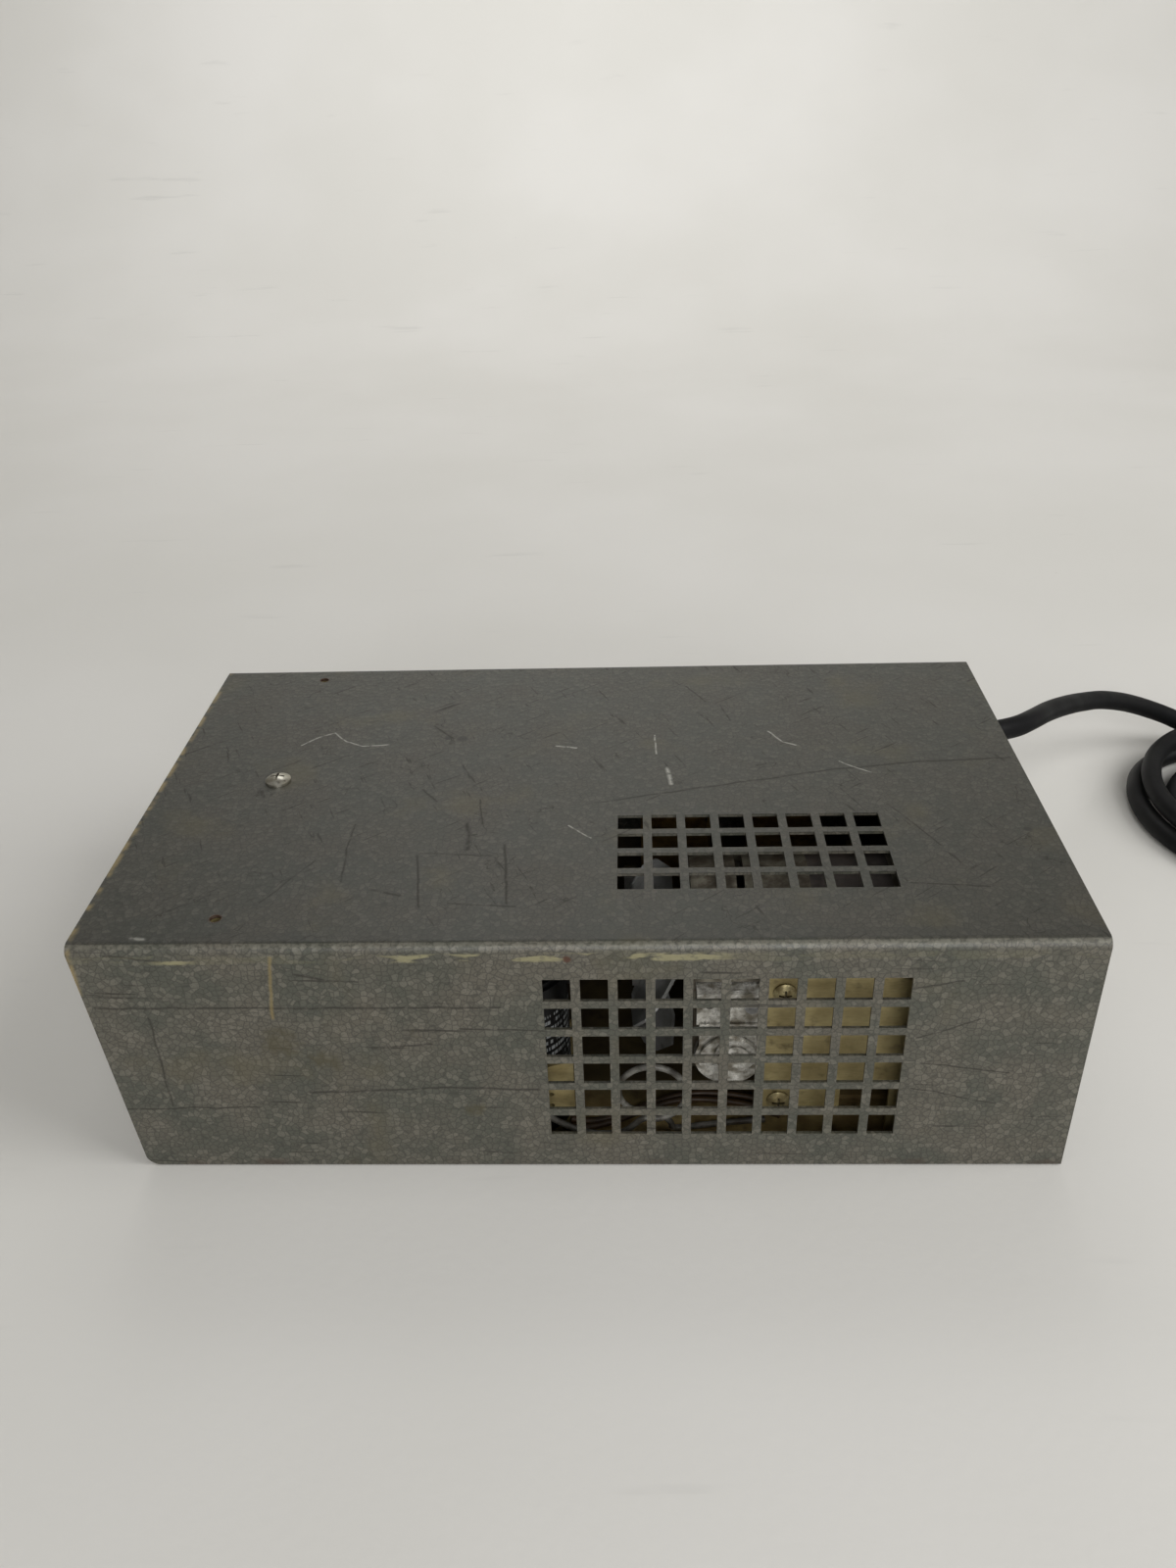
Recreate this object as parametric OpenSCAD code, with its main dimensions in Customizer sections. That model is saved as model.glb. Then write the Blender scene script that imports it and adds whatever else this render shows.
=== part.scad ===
// Ceiling garage door opener head: a folded sheet hood over a chassis that holds a ventilated
// induction motor, a worm reduction and a chain sprocket, with its relays, capacitor and mains cord.
// Lengths are in millimetres and angles in degrees. Most places are measured on the bench: from the
// hood's left edge (X), its front face (Y) and the surface it stands on (Z).

/* [Hood] */
// Width of the hood, left to right
hood_w = 346.5; // [340:0.5:352]
// Depth of the hood, front to back
hood_d = 209.2; // [205:0.1:214]
// Height of the hood
hood_h = 104.5; // [104.5:0.5:110]
// Thickness of the hood's sheet
hood_t = 1.2; // [0.8:0.1:1.2]
// Outer radius of the two long folds
fold_r = 3.5; // [2.5:0.5:5]
// How far the flanges' left edges lean in at the bottom
flange_lean = 7.2; // [4:0.1:8]
// Radius of the flanges' bottom left corners
flange_corner_r = 5; // [3:1:8]
// Gap between the hood's lower edges and the floor
hood_gap = 0.6; // [0.3:0.1:1]

/* [Vents] */
// Side of each square vent hole
vent = 9.5; // [7:0.5:10]
// Distance between vent hole centres
vent_pitch = 12.7; // [12:0.1:13]
// Holes across the front vent
front_vent_cols = 10; // [8:1:10]
// Rows of the front vent
front_vent_rows = 6; // [4:1:6]
// Holes across the top vent
top_vent_cols = 8; // [6:1:8]
// Rows of the top vent
top_vent_rows = 4; // [2:1:4]

/* [Motor] */
// Radius of the motor's bells and stator
motor_r = 42; // [40:0.5:42]
// Height of the motor's axis
motor_z = 50; // [49.5:0.1:50.5]
// Distance of the motor's axis behind the hood's front face
motor_y = 60; // [59.5:0.1:60.5]
// Radius of the motor shaft
shaft_r = 5; // [4:0.5:5]
// Number of fan blades
fan_blades = 4; // [3:1:6]
// Radius over the fan's blade tips
fan_r = 43; // [38:0.5:43]

/* [Drive] */
// Module of the worm and its wheel
gear_m = 2; // [1.95:0.01:2]
// Teeth on the worm wheel
wheel_teeth = 36; // [35:1:36]
// Pitch radius of the worm
worm_r = 8.6; // [8.4:0.1:8.8]
// Radius of the output shaft
output_r = 8; // [7:0.5:8]
// Teeth on the drive sprocket
sprocket_teeth = 13; // [11:1:13]
// Pitch of the drive chain
chain_pitch = 12.7; // [12.7:0.1:12.7]

/* [Cord] */
// Diameter of the mains cord
cord_d = 10; // [9:0.5:10]
// Radius of the cord's outer turn on the floor
coil_r = 77; // [76:0.5:78]

/* [Hidden] */
$fn = 48;

cut = 1;                          // how far a cutting shape runs past what it cuts
slip = 0.05;                      // radial clearance of a shaft in its bush
worm_lead = PI * gear_m;          // axial travel of the single thread in one turn
wheel_r = gear_m * wheel_teeth / 2;
output_x = 100;                   // the output shaft's place on the bench
output_y = motor_y + worm_r + wheel_r;
inner_h = hood_h - hood_t;        // underside of the hood's top
pan_t = 1.5;                      // chassis sheet
pan_x0 = 9;
pan_x1 = hood_w - 9;
pan_y0 = 1.5;
pan_y1 = hood_d - 1.5;
front_vent_x = 159.9;             // left edge of the front vent's first column
front_vent_z = 16.5;              // bottom edge of its lowest row
top_vent_x = front_vent_x + 2 * vent_pitch;
top_vent_y = 30.5;
hood_screw_x = 47.4;
hood_screw_y = [15.6, 106.6, 197.6];
cord_y = 193;                     // where the cord leaves the right end plate
cord_z = 74;
button_y = 150;
button_z = 76;
coil_x = 533;                     // centre of the coil on the floor
coil_y = 230;
saddle_x = 26;                    // left edge of the rail's saddle
relay_x = [196, 246];             // left faces of the two relays
relay_y = 142;
hang_holes = [for (x = [28, hood_w - 28], y = [26, hood_d - 26]) [x, y]];
// Screws that go down through a foot into the pan, with the height of the foot's upper side.
foot_screws = concat(
    [for (x = [pan_x0 + 7, pan_x1 - 8], y = [26, hood_d - 26]) [x, y, 3]],
    [for (y = [13, hood_d - 13]) [hood_screw_x, y, 3]],
    [for (y = [output_y - 30, output_y + 30]) [saddle_x + 12, y, 3.5]],
    [for (x = [256, 294], y = [38, 82]) [x, y, 3.5]],
    [for (x = relay_x, dx = [3.6, 26.4]) [x + dx, relay_y + 3.6, 3.5]]);
// Flat head screws that go up into the gear case's legs.
leg_screws = [for (x = [70, 130], y = [54, 128]) [x, y]];

// Route of the cord from the strain relief to the coil.
cord_route = [[352, 193, 74], [358, 193, 74], [365, 195.8, 74], [373, 201, 73], [383, 211, 71], [395, 226, 67],
    [409, 243, 61], [425, 262, 53], [444, 281, 44], [466, 297, 33], [490, 306, 21], [512, 308, 10],
    [533, 307, 5]];
// The brown pair from the capacitor to the motor, and the loose end of the white lead.
brown_route = [[163, 14.5, 5.4], [172, 16, 2.9], [184, 20, 2.9], [196, 26, 2.9], [208, 30, 2.9],
    [222, 30, 2.9], [236, 27, 2.9], [246, 22, 2.9]];
white_start = [[158, 12.1, 13], [163, 12.4, 9], [168, 12.4, 6], [176, 12, 4], [186, 11, 6]];
white_end = [[201, 13.9, 11.2], [204, 14, 7.6], [204, 14.6, 4.6], [208, 16, 2.9], [222, 18, 2.9], [240, 20, 2.9]];

// Moves a child from bench places to the part's own frame, whose origin is the base's middle.
module bench() translate([-hood_w / 2, -hood_d / 2, 0]) children();

// A rod along X that starts at x.
module rod_x(x, y, z, len, r) translate([x, y, z]) rotate([0, 90, 0]) cylinder(h = len, r = r);

// A rod along Y that starts at y.
module rod_y(x, y, z, len, r) translate([x, y, z]) rotate([-90, 0, 0]) cylinder(h = len, r = r);

// Cross slot of a Phillips screw, sunk into a head whose top is at z = 0.
module phillips(size) {
    for (a = [0, 90]) rotate(a) translate([-size / 2, -size / 12, -size / 4]) cube([size, size / 6, size]);
}

// A pan head screw that points down, with the underside of its head at the origin.
module pan_screw(head_r, head_h, shank_r, len) {
    translate([0, 0, -len]) cylinder(h = len, r = shank_r);
    difference() {
        intersection() {
            cylinder(h = head_h, r = head_r);
            translate([0, 0, head_h - head_r * 1.6]) sphere(r = head_r * 1.6);
        }
        translate([0, 0, head_h]) phillips(head_r * 1.1);
    }
}

// Points of a ring of n sides round p, square to the unit direction t, with ref never along t.
function unit(v) = v / norm(v);
function ring_points(p, t, ref, r, n) =
    let (u = unit(cross(ref, t)), v = cross(t, u))
    [for (j = [0:n - 1]) p + r * (cos(360 * j / n) * u + sin(360 * j / n) * v)];
function run(route, i) =
    unit(route[min(i + 1, len(route) - 1)] - route[max(i - 1, 0)]);

// A closed tube of n sides swept along a route.
module tube(route, d, n, ref) {
    count = len(route);
    points = [for (i = [0:count - 1]) each ring_points(route[i], run(route, i), ref, d / 2, n)];
    sides = [for (i = [0:count - 2]) for (j = [0:n - 1])
        [i * n + j, (i + 1) * n + j, (i + 1) * n + (j + 1) % n, i * n + (j + 1) % n]];
    start_cap = [for (j = [0:n - 1]) j];
    end_cap = [for (j = [n - 1:-1:0]) (count - 1) * n + j];
    polyhedron(points, concat(sides, [start_cap, end_cap]), convexity = 6);
}

// ---- Hood and chassis ----

// The hood's outline seen from the side, inset by gap, with its two upper corners rounded.
module hood_outline(gap) {
    r = fold_r - gap;
    translate([gap, -cut]) square([hood_d - 2 * gap, hood_h - fold_r + cut]);
    translate([fold_r, -cut]) square([hood_d - 2 * fold_r, hood_h - gap + cut]);
    for (y = [fold_r, hood_d - fold_r]) translate([y, hood_h - fold_r]) circle(r);
}

// What is cut from a flange's left edge: a lean from the fold to the bottom, and a round corner.
module flange_cut() {
    k = flange_lean / (hood_h - fold_r - hood_gap);
    n = sqrt(1 + k * k);
    cz = hood_gap + flange_corner_r;
    cx = k * (hood_h - fold_r - cz) + flange_corner_r * n;
    corner = [for (a = [180:15:270]) [cx + flange_corner_r * cos(a), cz + flange_corner_r * sin(a)]];
    polygon(concat([[-cut, hood_h - fold_r], [0, hood_h - fold_r]], corner,
        [[cx, -2 * cut], [-cut, -2 * cut]]));
}

module hood() color([0.29, 0.29, 0.27]) bench() difference() {
    rotate([90, 0, 90]) linear_extrude(hood_w) difference() {
        hood_outline(0);
        hood_outline(hood_t);
        translate([-cut, -2 * cut]) square([hood_d + 2 * cut, hood_gap + 2 * cut]);
    }
    translate([0, hood_d + cut, 0]) rotate([90, 0, 0]) linear_extrude(hood_d + 2 * cut) flange_cut();
    for (i = [0:front_vent_cols - 1], j = [0:front_vent_rows - 1])
        translate([front_vent_x + i * vent_pitch, -cut, front_vent_z + j * vent_pitch])
            cube([vent, hood_t + 2 * cut, vent]);
    for (i = [0:top_vent_cols - 1], j = [0:top_vent_rows - 1])
        translate([top_vent_x + i * vent_pitch, top_vent_y + j * vent_pitch, inner_h - cut])
            cube([vent, vent, hood_t + 2 * cut]);
    for (y = hood_screw_y) translate([hood_screw_x, y, inner_h - cut]) cylinder(h = hood_t + 2 * cut, r = 2);
}

module hood_screw() color([0.75, 0.74, 0.7]) bench()
    translate([hood_screw_x, hood_screw_y[1], hood_h]) pan_screw(5.1, 2.8, 1.8, 8);

// Strap under the hood's left end, with its three tapped holes.
module hood_bridge() color([0.62, 0.56, 0.34]) bench() {
    top_z = inner_h - 0.3;
    x0 = hood_screw_x - 10;
    y0 = 5;
    y1 = hood_d - 5;
    difference() {
        union() {
            translate([x0, y0, top_z - 1.5]) cube([20, y1 - y0, 1.5]);
            for (y = [y0, y1 - 1.5]) translate([x0, y, pan_t]) cube([20, 1.5, top_z - pan_t]);
            for (y = [y0, y1 - 13]) translate([x0, y, pan_t]) cube([20, 13, 1.5]);
        }
        for (y = hood_screw_y) translate([hood_screw_x, y, top_z - 3]) cylinder(h = 6, r = 1.85);
        for (y = [y0 + 8, y1 - 8]) translate([hood_screw_x, y, 0]) cylinder(h = 6, r = 2);
    }
}

// Two spring clips on the right end plate that grip the hood's underside.
module hood_clips() color([0.55, 0.55, 0.55]) bench() for (y = [30, hood_d - 46]) translate([0, y, 0]) {
    translate([pan_x1 - 2.7, 0, 84]) cube([1.2, 16, 15.5]);
    translate([pan_x1 - 14, 0, 99.5]) cube([12.5, 16, 1.2]);
    translate([pan_x1 - 14, 0, 100.7]) cube([1.2, 16, 2.3]);
}

module base_pan() color([0.55, 0.49, 0.3]) bench() difference() {
    union() {
        translate([pan_x0, pan_y0, 0]) cube([pan_x1 - pan_x0, pan_y1 - pan_y0, pan_t]);
        for (y = [pan_y0, pan_y1 - pan_t]) translate([pan_x0, y, 0]) cube([pan_x1 - pan_x0, pan_t, 12]);
    }
    for (p = hang_holes) translate([p[0], p[1], -cut]) cylinder(h = 4, r = 3.5);
    for (p = foot_screws) translate([p[0], p[1], -cut]) cylinder(h = 4, r = 2);
    for (p = leg_screws) translate([p[0], p[1], 0]) flat_screw(0);
    for (i = [0:9]) translate([186 + i * 13, hood_d - 44, -cut]) cube([6, 26, 4]);
}

// Countersunk screw that stands on its head, whose flat is at z = 0.
module flat_screw(len) {
    cylinder(h = pan_t, r1 = 4, r2 = 2.5);
    cylinder(h = pan_t + len, r = 2.5);
}

module chassis_screws() color([0.66, 0.6, 0.4]) bench() {
    for (p = foot_screws) translate(p) pan_screw(3.9, 2, 2, p[2] - 0.2);
    for (p = leg_screws) translate([p[0], p[1], 0]) flat_screw(12);
}

// An end plate whose outer face is at x, with a foot that turns inwards.
module end_plate(x, inwards) {
    translate([x, 3.5, pan_t]) cube([1.5, hood_d - 7, inner_h - 0.3 - pan_t]);
    translate([inwards > 0 ? x + 1.5 : x - 13, 3.5, pan_t]) cube([13, hood_d - 7, 1.5]);
}

// The rail end, with the window that the rail and both runs of the chain pass through.
module end_plate_left() color([0.5, 0.5, 0.47]) bench() difference() {
    end_plate(pan_x0, 1);
    translate([pan_x0 - cut, output_y - 34, 66]) cube([4, 68, 30]);
    for (y = [30, hood_d - 30], z = [30, 80]) rod_x(pan_x0 - cut, y, z, 4, 3.5);
    for (y = [26, hood_d - 26]) translate([pan_x0 + 7, y, pan_t - cut]) cylinder(h = 4, r = 2);
}

// The cord end, with holes for the strain relief, the reset button and the terminal screws.
module end_plate_right() color([0.5, 0.5, 0.47]) bench() difference() {
    end_plate(pan_x1 - 1.5, -1);
    rod_x(pan_x1 - 3, cord_y, cord_z, 5, 8);
    rod_x(pan_x1 - 3, button_y, button_z, 5, 4.6);
    for (y = [58:14:100]) rod_x(pan_x1 - 3, y, 70, 5, 2);
    for (y = [26, hood_d - 26]) translate([pan_x1 - 8, y, pan_t - cut]) cylinder(h = 4, r = 2);
}

// Channel that the end of the rail is bolted down on.
module rail_saddle() color([0.62, 0.56, 0.34]) bench() difference() {
    union() {
        translate([saddle_x, output_y - 22, 68]) cube([24, 44, 2.5]);
        for (y = [output_y - 22, output_y + 19.5]) translate([saddle_x, y, pan_t]) cube([24, 2.5, 67]);
        for (y = [output_y - 36, output_y + 19.5]) translate([saddle_x, y, pan_t]) cube([24, 16.5, 2]);
    }
    for (y = [output_y - 12, output_y + 12]) translate([saddle_x + 12, y, 66]) cylinder(h = 6, r = 3.5);
    for (y = [output_y - 30, output_y + 30]) translate([saddle_x + 12, y, 0]) cylinder(h = 8, r = 2);
}

// ---- Reduction ----

case_lugs = [[66, 50], [134, 50], [60, 130], [140, 130], [100, 151.5]];

// Outline of the gear case seen from above, grown or shrunk by grow.
module case_outline(grow) {
    translate([output_x, output_y]) circle(43 + grow);
    translate([62 - grow, motor_y - 15 - grow]) square([76 + 2 * grow, 32 + 2 * grow]);
}

module gear_case() color([0.6, 0.6, 0.58]) bench() difference() {
    union() {
        translate([0, 0, 30]) linear_extrude(36) case_outline(0);
        for (p = case_lugs) translate([p[0], p[1], 44]) cylinder(h = 22, r = 6);
        translate([output_x, output_y, 20]) cylinder(h = 12, r = 15);
        for (p = leg_screws) translate([p[0], p[1], pan_t]) cylinder(h = 30, r = 7);
    }
    translate([output_x, output_y, 34]) cylinder(h = 40, r = wheel_r + gear_m + 1.5);
    rod_x(74, motor_y, motor_z, 52, 13.5);
    translate([74, motor_y - 8, motor_z]) cube([52, 16, 30]);
    rod_x(50, motor_y, motor_z, 100, 8);
    translate([output_x, output_y, 10]) cylinder(h = 30, r = 11);
    for (p = case_lugs) translate([p[0], p[1], 50]) cylinder(h = 20, r = 2);
    for (p = leg_screws) translate([p[0], p[1], 0]) cylinder(h = pan_t + 12, r = 2.5);
}

module gear_case_lid() color([0.64, 0.64, 0.62]) bench() difference() {
    union() {
        translate([0, 0, 66]) linear_extrude(4) case_outline(0);
        for (p = case_lugs) translate([p[0], p[1], 66]) cylinder(h = 4, r = 6);
        translate([output_x, output_y, 70]) cylinder(h = 5, r = 15);
    }
    translate([output_x, output_y, 60]) cylinder(h = 30, r = 11);
    for (p = case_lugs) translate([p[0], p[1], 60]) cylinder(h = 20, r = 2.2);
}

module case_screws() color([0.7, 0.7, 0.66]) bench() for (p = case_lugs) translate([p[0], p[1], 70]) {
    translate([0, 0, -14]) cylinder(h = 14, r = 2);
    difference() {
        cylinder(h = 3.5, r = 4.5, $fn = 6);
        translate([-4, -0.6, 2.3]) cube([8, 1.2, 2]);
    }
}

module bush_x(x, len, outer, inner) difference() {
    rod_x(x, motor_y, motor_z, len, outer);
    rod_x(x - cut, motor_y, motor_z, len + 2 * cut, inner);
}

module worm_bushes() color([0.72, 0.55, 0.3]) bench() for (x = [62, 126]) bush_x(x, 12, 8, shaft_r + slip);

module output_bushes() color([0.72, 0.55, 0.3]) bench() for (z = [20, 66])
    translate([output_x, output_y, z]) difference() {
        cylinder(h = z > 50 ? 9 : 14, r = 11);
        translate([0, 0, -cut]) cylinder(h = 20, r = output_r + slip);
    }

// Thread depth, and the radius of the single thread at an angle round the worm's cross-section.
tooth_add = gear_m;
tooth_ded = 1.2 * gear_m;
tooth_half = 0.675 * gear_m;      // half a tooth's thickness on the pitch line, with its backlash
flank = tan(20);
function thread_r(a) =
    let (off = abs(a > 180 ? a - 360 : a) / 360 * worm_lead)
    max(worm_r - tooth_ded, min(worm_r + tooth_add, worm_r + (tooth_half - off) / flank));

module worm() color([0.66, 0.66, 0.68]) bench() {
    turns = 5.5;
    translate([output_x - worm_lead * turns / 2, motor_y, motor_z]) rotate([0, 90, 0])
        linear_extrude(height = worm_lead * turns, twist = -360 * turns, slices = 18 * turns, convexity = 8)
            polygon([for (a = [0:15:345]) thread_r(a) * [cos(a), sin(a)]]);
    rod_x(62, motor_y, motor_z, 88, shaft_r);
    for (x = [74, 122]) rod_x(x + 0.3, motor_y, motor_z, 3.4, 7);
}

module shaft_coupling() color([0.5, 0.5, 0.5]) bench() {
    bush_x(140, 26, 10, shaft_r);
    for (x = [146, 160]) translate([x, motor_y, motor_z + 8]) cylinder(h = 3.2, r = 2);
}

// Outline of a trapezoid tooth wheel, with a tooth that points along -Y.
module wheel_outline() {
    step = 360 / wheel_teeth;
    function at(r, a) = r * [cos(a), sin(a)];
    function half(r) = (tooth_half + (wheel_r - r) * flank) / r * 180 / PI;
    tip = wheel_r + tooth_add;
    root = wheel_r - tooth_ded;
    polygon([for (k = [0:wheel_teeth - 1]) let (a = k * step - 90)
        each [at(root, a - half(root)), at(tip, a - half(tip)), at(tip, a + half(tip)), at(root, a + half(root))]]);
}

module worm_wheel() color([0.75, 0.6, 0.3]) bench() translate([output_x, output_y, 0]) {
    lean = 10 * worm_lead / (2 * PI * worm_r) / wheel_r * 180 / PI;
    difference() {
        union() {
            translate([0, 0, motor_z - 5]) rotate(-lean / 2)
                linear_extrude(height = 10, twist = -lean, slices = 2, convexity = 8) wheel_outline();
            translate([0, 0, 37]) cylinder(h = 9, r = 14);
        }
        translate([0, 0, 30]) cylinder(h = 40, r = output_r);
        rotate([0, 90, 0]) translate([-41, 0, -20]) cylinder(h = 40, r = 2);
        for (a = [0:60:300]) rotate(a) translate([22, 0, 40]) cylinder(h = 20, r = 5);
    }
}

module wheel_pin() color([0.6, 0.6, 0.6]) bench() rod_x(output_x - 14, output_y, 41, 28, 2);

module output_shaft() color([0.68, 0.68, 0.7]) bench() difference() {
    translate([output_x, output_y, 18]) cylinder(h = 78, r = output_r);
    rod_x(output_x - 20, output_y, 41, 40, 2);
}

// Sprocket plate with a gap at every chain roller, on a hub.
module drive_sprocket() color([0.45, 0.43, 0.4]) bench() translate([output_x, output_y, 0]) {
    pitch_r = chain_pitch / (2 * sin(180 / sprocket_teeth));
    difference() {
        union() {
            translate([0, 0, 80]) cylinder(h = 5.5, r = pitch_r + 3.4);
            translate([0, 0, 75.3]) cylinder(h = 5, r = 13);
        }
        for (k = [0:sprocket_teeth - 1]) rotate(k * 360 / sprocket_teeth) {
            translate([pitch_r, 0, 79]) cylinder(h = 8, r = 4.1);
            translate([pitch_r, 0, 79]) linear_extrude(8) polygon([[0, -4.1], [5, -5.9], [5, 5.9], [0, 4.1]]);
        }
        translate([0, 0, 70]) cylinder(h = 20, r = output_r);
    }
}

module sprocket_collar() color([0.6, 0.6, 0.6]) bench() translate([output_x, output_y, 85.5]) difference() {
    cylinder(h = 7, r = 13);
    translate([0, 0, -cut]) cylinder(h = 9, r = output_r);
    rotate([0, 90, 30]) translate([-3.5, 0, 7]) cylinder(h = 8, r = 2);
}

// ---- Motor ----

bell_x = 212;                     // outer face of the left bell
stack_x = 256;                    // the stator's left face
stack_len = 30;
bolt_ring_r = motor_r - 5.6;        // radius of the ring that the through bolts stand on

// A cast bell whose closed end is at x = 0 and whose rim is at x = len: end web, arms and rim.
module bell(len, hub_x) {
    difference() {
        union() {
            difference() {
                rod_x(0, 0, 0, len, motor_r);
                rod_x(4, 0, 0, len, motor_r - 3);
            }
            rod_x(hub_x, 0, 0, 14 - hub_x, 13);
            for (a = [45:90:315]) rotate([a, 0, 0]) translate([4, -5, motor_r - 8.6]) cube([len - 16, 10, 6.8]);
        }
        rod_x(-4, 0, 0, 60, 8);
        for (a = [45:90:315]) rotate([a, 0, 0]) {
            rod_x(-cut, 0, bolt_ring_r, len + 2 * cut, 2.1);
            rotate([45, 0, 0]) translate([-cut, -8, 17]) cube([6, 16, 19]);
            rotate([45, 0, 0]) translate([17, -12, motor_r - 10]) cube([3, 24, 12]);
        }
    }
}

module motor_bell_left() color([0.72, 0.72, 0.7]) bench()
    translate([bell_x, motor_y, motor_z]) bell(stack_x - bell_x, 0);

module motor_bell_right() color([0.66, 0.66, 0.64]) bench()
    translate([stack_x + stack_len + 36, motor_y, motor_z]) rotate([0, 0, 180]) bell(36, 0);

// Cast cover of the starting switch, on the left bell's front.
module switch_cover() color([0.78, 0.77, 0.74]) bench() difference() {
    union() {
        intersection() {
            union() {
                translate([214, 14.5, 44]) cube([22, 10, 12]);
                rod_y(225, 14.5, 40, 10, 12.5);
                rod_y(225, 13, 40, 12, 11);
                translate([213, 15.5, 55]) cube([24, 10, 14]);
            }
            translate([205, 0, 20]) cube([50, 30, 60]);
        }
        for (s = [[7.5, 12], [5, 11.2], [2.5, 10.6]]) rod_y(227, s[1], 43, 3, s[0]);
    }
    rod_x(200, motor_y, motor_z, 60, motor_r + 0.01);
    rod_y(217.5, 10, 64, 20, 1.6);
    rod_y(232.5, 10, 64, 20, 2.6);
}

module switch_cover_screw() color([0.6, 0.6, 0.58]) bench() difference() {
    rod_y(232.5, 14, 64, 7, 2.6);
    rod_x(200, motor_y, motor_z, 60, motor_r + 0.01);
    translate([229, 13.5, 63.6]) cube([7, 1.1, 0.8]);
}

module stator_core() color([0.33, 0.3, 0.28]) bench() difference() {
    rod_x(stack_x, motor_y, motor_z, stack_len, motor_r);
    rod_x(stack_x - cut, motor_y, motor_z, stack_len + 2 * cut, 22.9);
    translate([0, motor_y, motor_z]) for (a = [0:30:330]) rotate([a, 0, 0])
        translate([stack_x - cut, -2.5, 22]) cube([stack_len + 2 * cut, 5, 11]);
    translate([0, motor_y, motor_z]) for (a = [45:90:315]) rotate([a, 0, 0])
        rod_x(stack_x - cut, 0, bolt_ring_r, stack_len + 2 * cut, 2.1);
}

// End turns at both ends of the stack, joined by the bars in its slots.
module stator_windings() color([0.6, 0.33, 0.16]) bench() translate([0, motor_y, motor_z]) {
    for (x = [stack_x - 11, stack_x + stack_len]) translate([x, 0, 0]) rotate([0, 90, 0])
        rotate_extrude() polygon([[24, 0], [32.5, 0], [33.8, 3], [33.8, 8], [32.5, 11], [25.5, 11], [24, 8]]);
    for (a = [0:30:330]) rotate([a, 0, 0])
        translate([stack_x - 1, -2.4, 24.2]) cube([stack_len + 2, 4.8, 8.6]);
}

module motor_bolts() color([0.62, 0.62, 0.6]) bench() translate([0, motor_y, motor_z])
    for (a = [45:90:315]) rotate([a, 0, 0]) {
        len = stack_len + 36 + stack_x - bell_x;
        rod_x(bell_x - 1, 0, bolt_ring_r, len + 6, 2);
        for (x = [bell_x - 3, bell_x + len]) translate([x, 0, bolt_ring_r]) rotate([0, 90, 0])
            cylinder(h = 3, r = 4, $fn = 6);
    }

module shaft_bushes() color([0.72, 0.55, 0.3]) bench() for (x = [bell_x, stack_x + stack_len + 22])
    bush_x(x, 14, 8, shaft_r + slip);

module motor_shaft() color([0.7, 0.7, 0.72]) bench() rod_x(150, motor_y, motor_z, 172, shaft_r);

module rotor() color([0.5, 0.5, 0.52]) bench() difference() {
    union() {
        rod_x(stack_x - 2, motor_y, motor_z, stack_len + 4, 22.4);
        for (x = [stack_x - 6, stack_x + stack_len + 2]) rod_x(x, motor_y, motor_z, 4, 21);
    }
    rod_x(200, motor_y, motor_z, 150, shaft_r);
    translate([0, motor_y, motor_z]) for (a = [0:60:300]) rotate([a, 0, 0])
        rod_x(stack_x - 10, 0, 12, stack_len + 20, 3);
}

// Hub with flat blades that lean 38 degrees and are narrowed towards their tips.
module cooling_fan() color([0.74, 0.74, 0.73]) bench() translate([198, motor_y, motor_z]) difference() {
    union() {
        rod_x(-8, 0, 0, 16, 11);
        for (k = [0:fan_blades - 1]) rotate([79 + k * 360 / fan_blades, 0, 0])
            rotate([0, -90, -90]) rotate([52, 0, 0]) translate([0, 0, -0.6]) linear_extrude(1.2)
                polygon([[8, -7], [22, -13], [36, -12], [fan_r - 2, -5], [fan_r - 2, 3], [34, 12], [20, 13], [8, 7]]);
    }
    rod_x(-20, 0, 0, 40, shaft_r);
    translate([0, 0, 4]) cylinder(h = 10, r = 1.6);
}

module motor_cradle() color([0.55, 0.49, 0.3]) bench() difference() {
    union() {
        translate([242, 32, pan_t]) cube([66, 56, 2]);
        for (x = [244, 300]) translate([x, 30, pan_t]) cube([6, 60, 26]);
    }
    rod_x(200, motor_y, motor_z, 150, motor_r);
    for (x = [256, 294], y = [38, 82]) translate([x, y, 0]) cylinder(h = 8, r = 2);
}

// ---- Electrics ----

// Plate in front of the motor, with a notch and a foot at its lower right.
module control_plate() color([0.64, 0.55, 0.3]) bench() difference() {
    union() {
        translate([236.5, 13, 16]) cube([64, 1.5, 80]);
        translate([284, 13, pan_t]) cube([16.5, 1.5, 16]);
        translate([284, 3.5, pan_t]) cube([16.5, 9.5, 1.5]);
        translate([236.5, 14.5, 94.5]) cube([64, 12, 1.5]);
    }
    translate([266, 10, 10]) cube([18, 10, 16]);
    for (z = [20.5, 72]) rod_y(243.5, 10, z, 10, 2.1);
    for (x = [246, 262, 278, 294]) translate([x, 21, 90]) cylinder(h = 10, r = 1.8);
}

module plate_screws() color([0.66, 0.58, 0.34]) bench() for (z = [20.5, 72])
    translate([243.5, 13, z]) rotate([90, 0, 0]) pan_screw(4.2, 2.2, 2, 4.4);

// Starting capacitor: a can with a rolled top and two tags.
module capacitor() color([0.07, 0.07, 0.08]) bench() translate([149.5, 28.5, pan_t + 1.5]) {
    cylinder(h = 69, r = 17);
    translate([0, 0, 69]) cylinder(h = 2, r = 15.5);
    for (x = [-6, 6]) translate([x - 0.4, -3, 71]) cube([0.8, 6, 8]);
}

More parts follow.
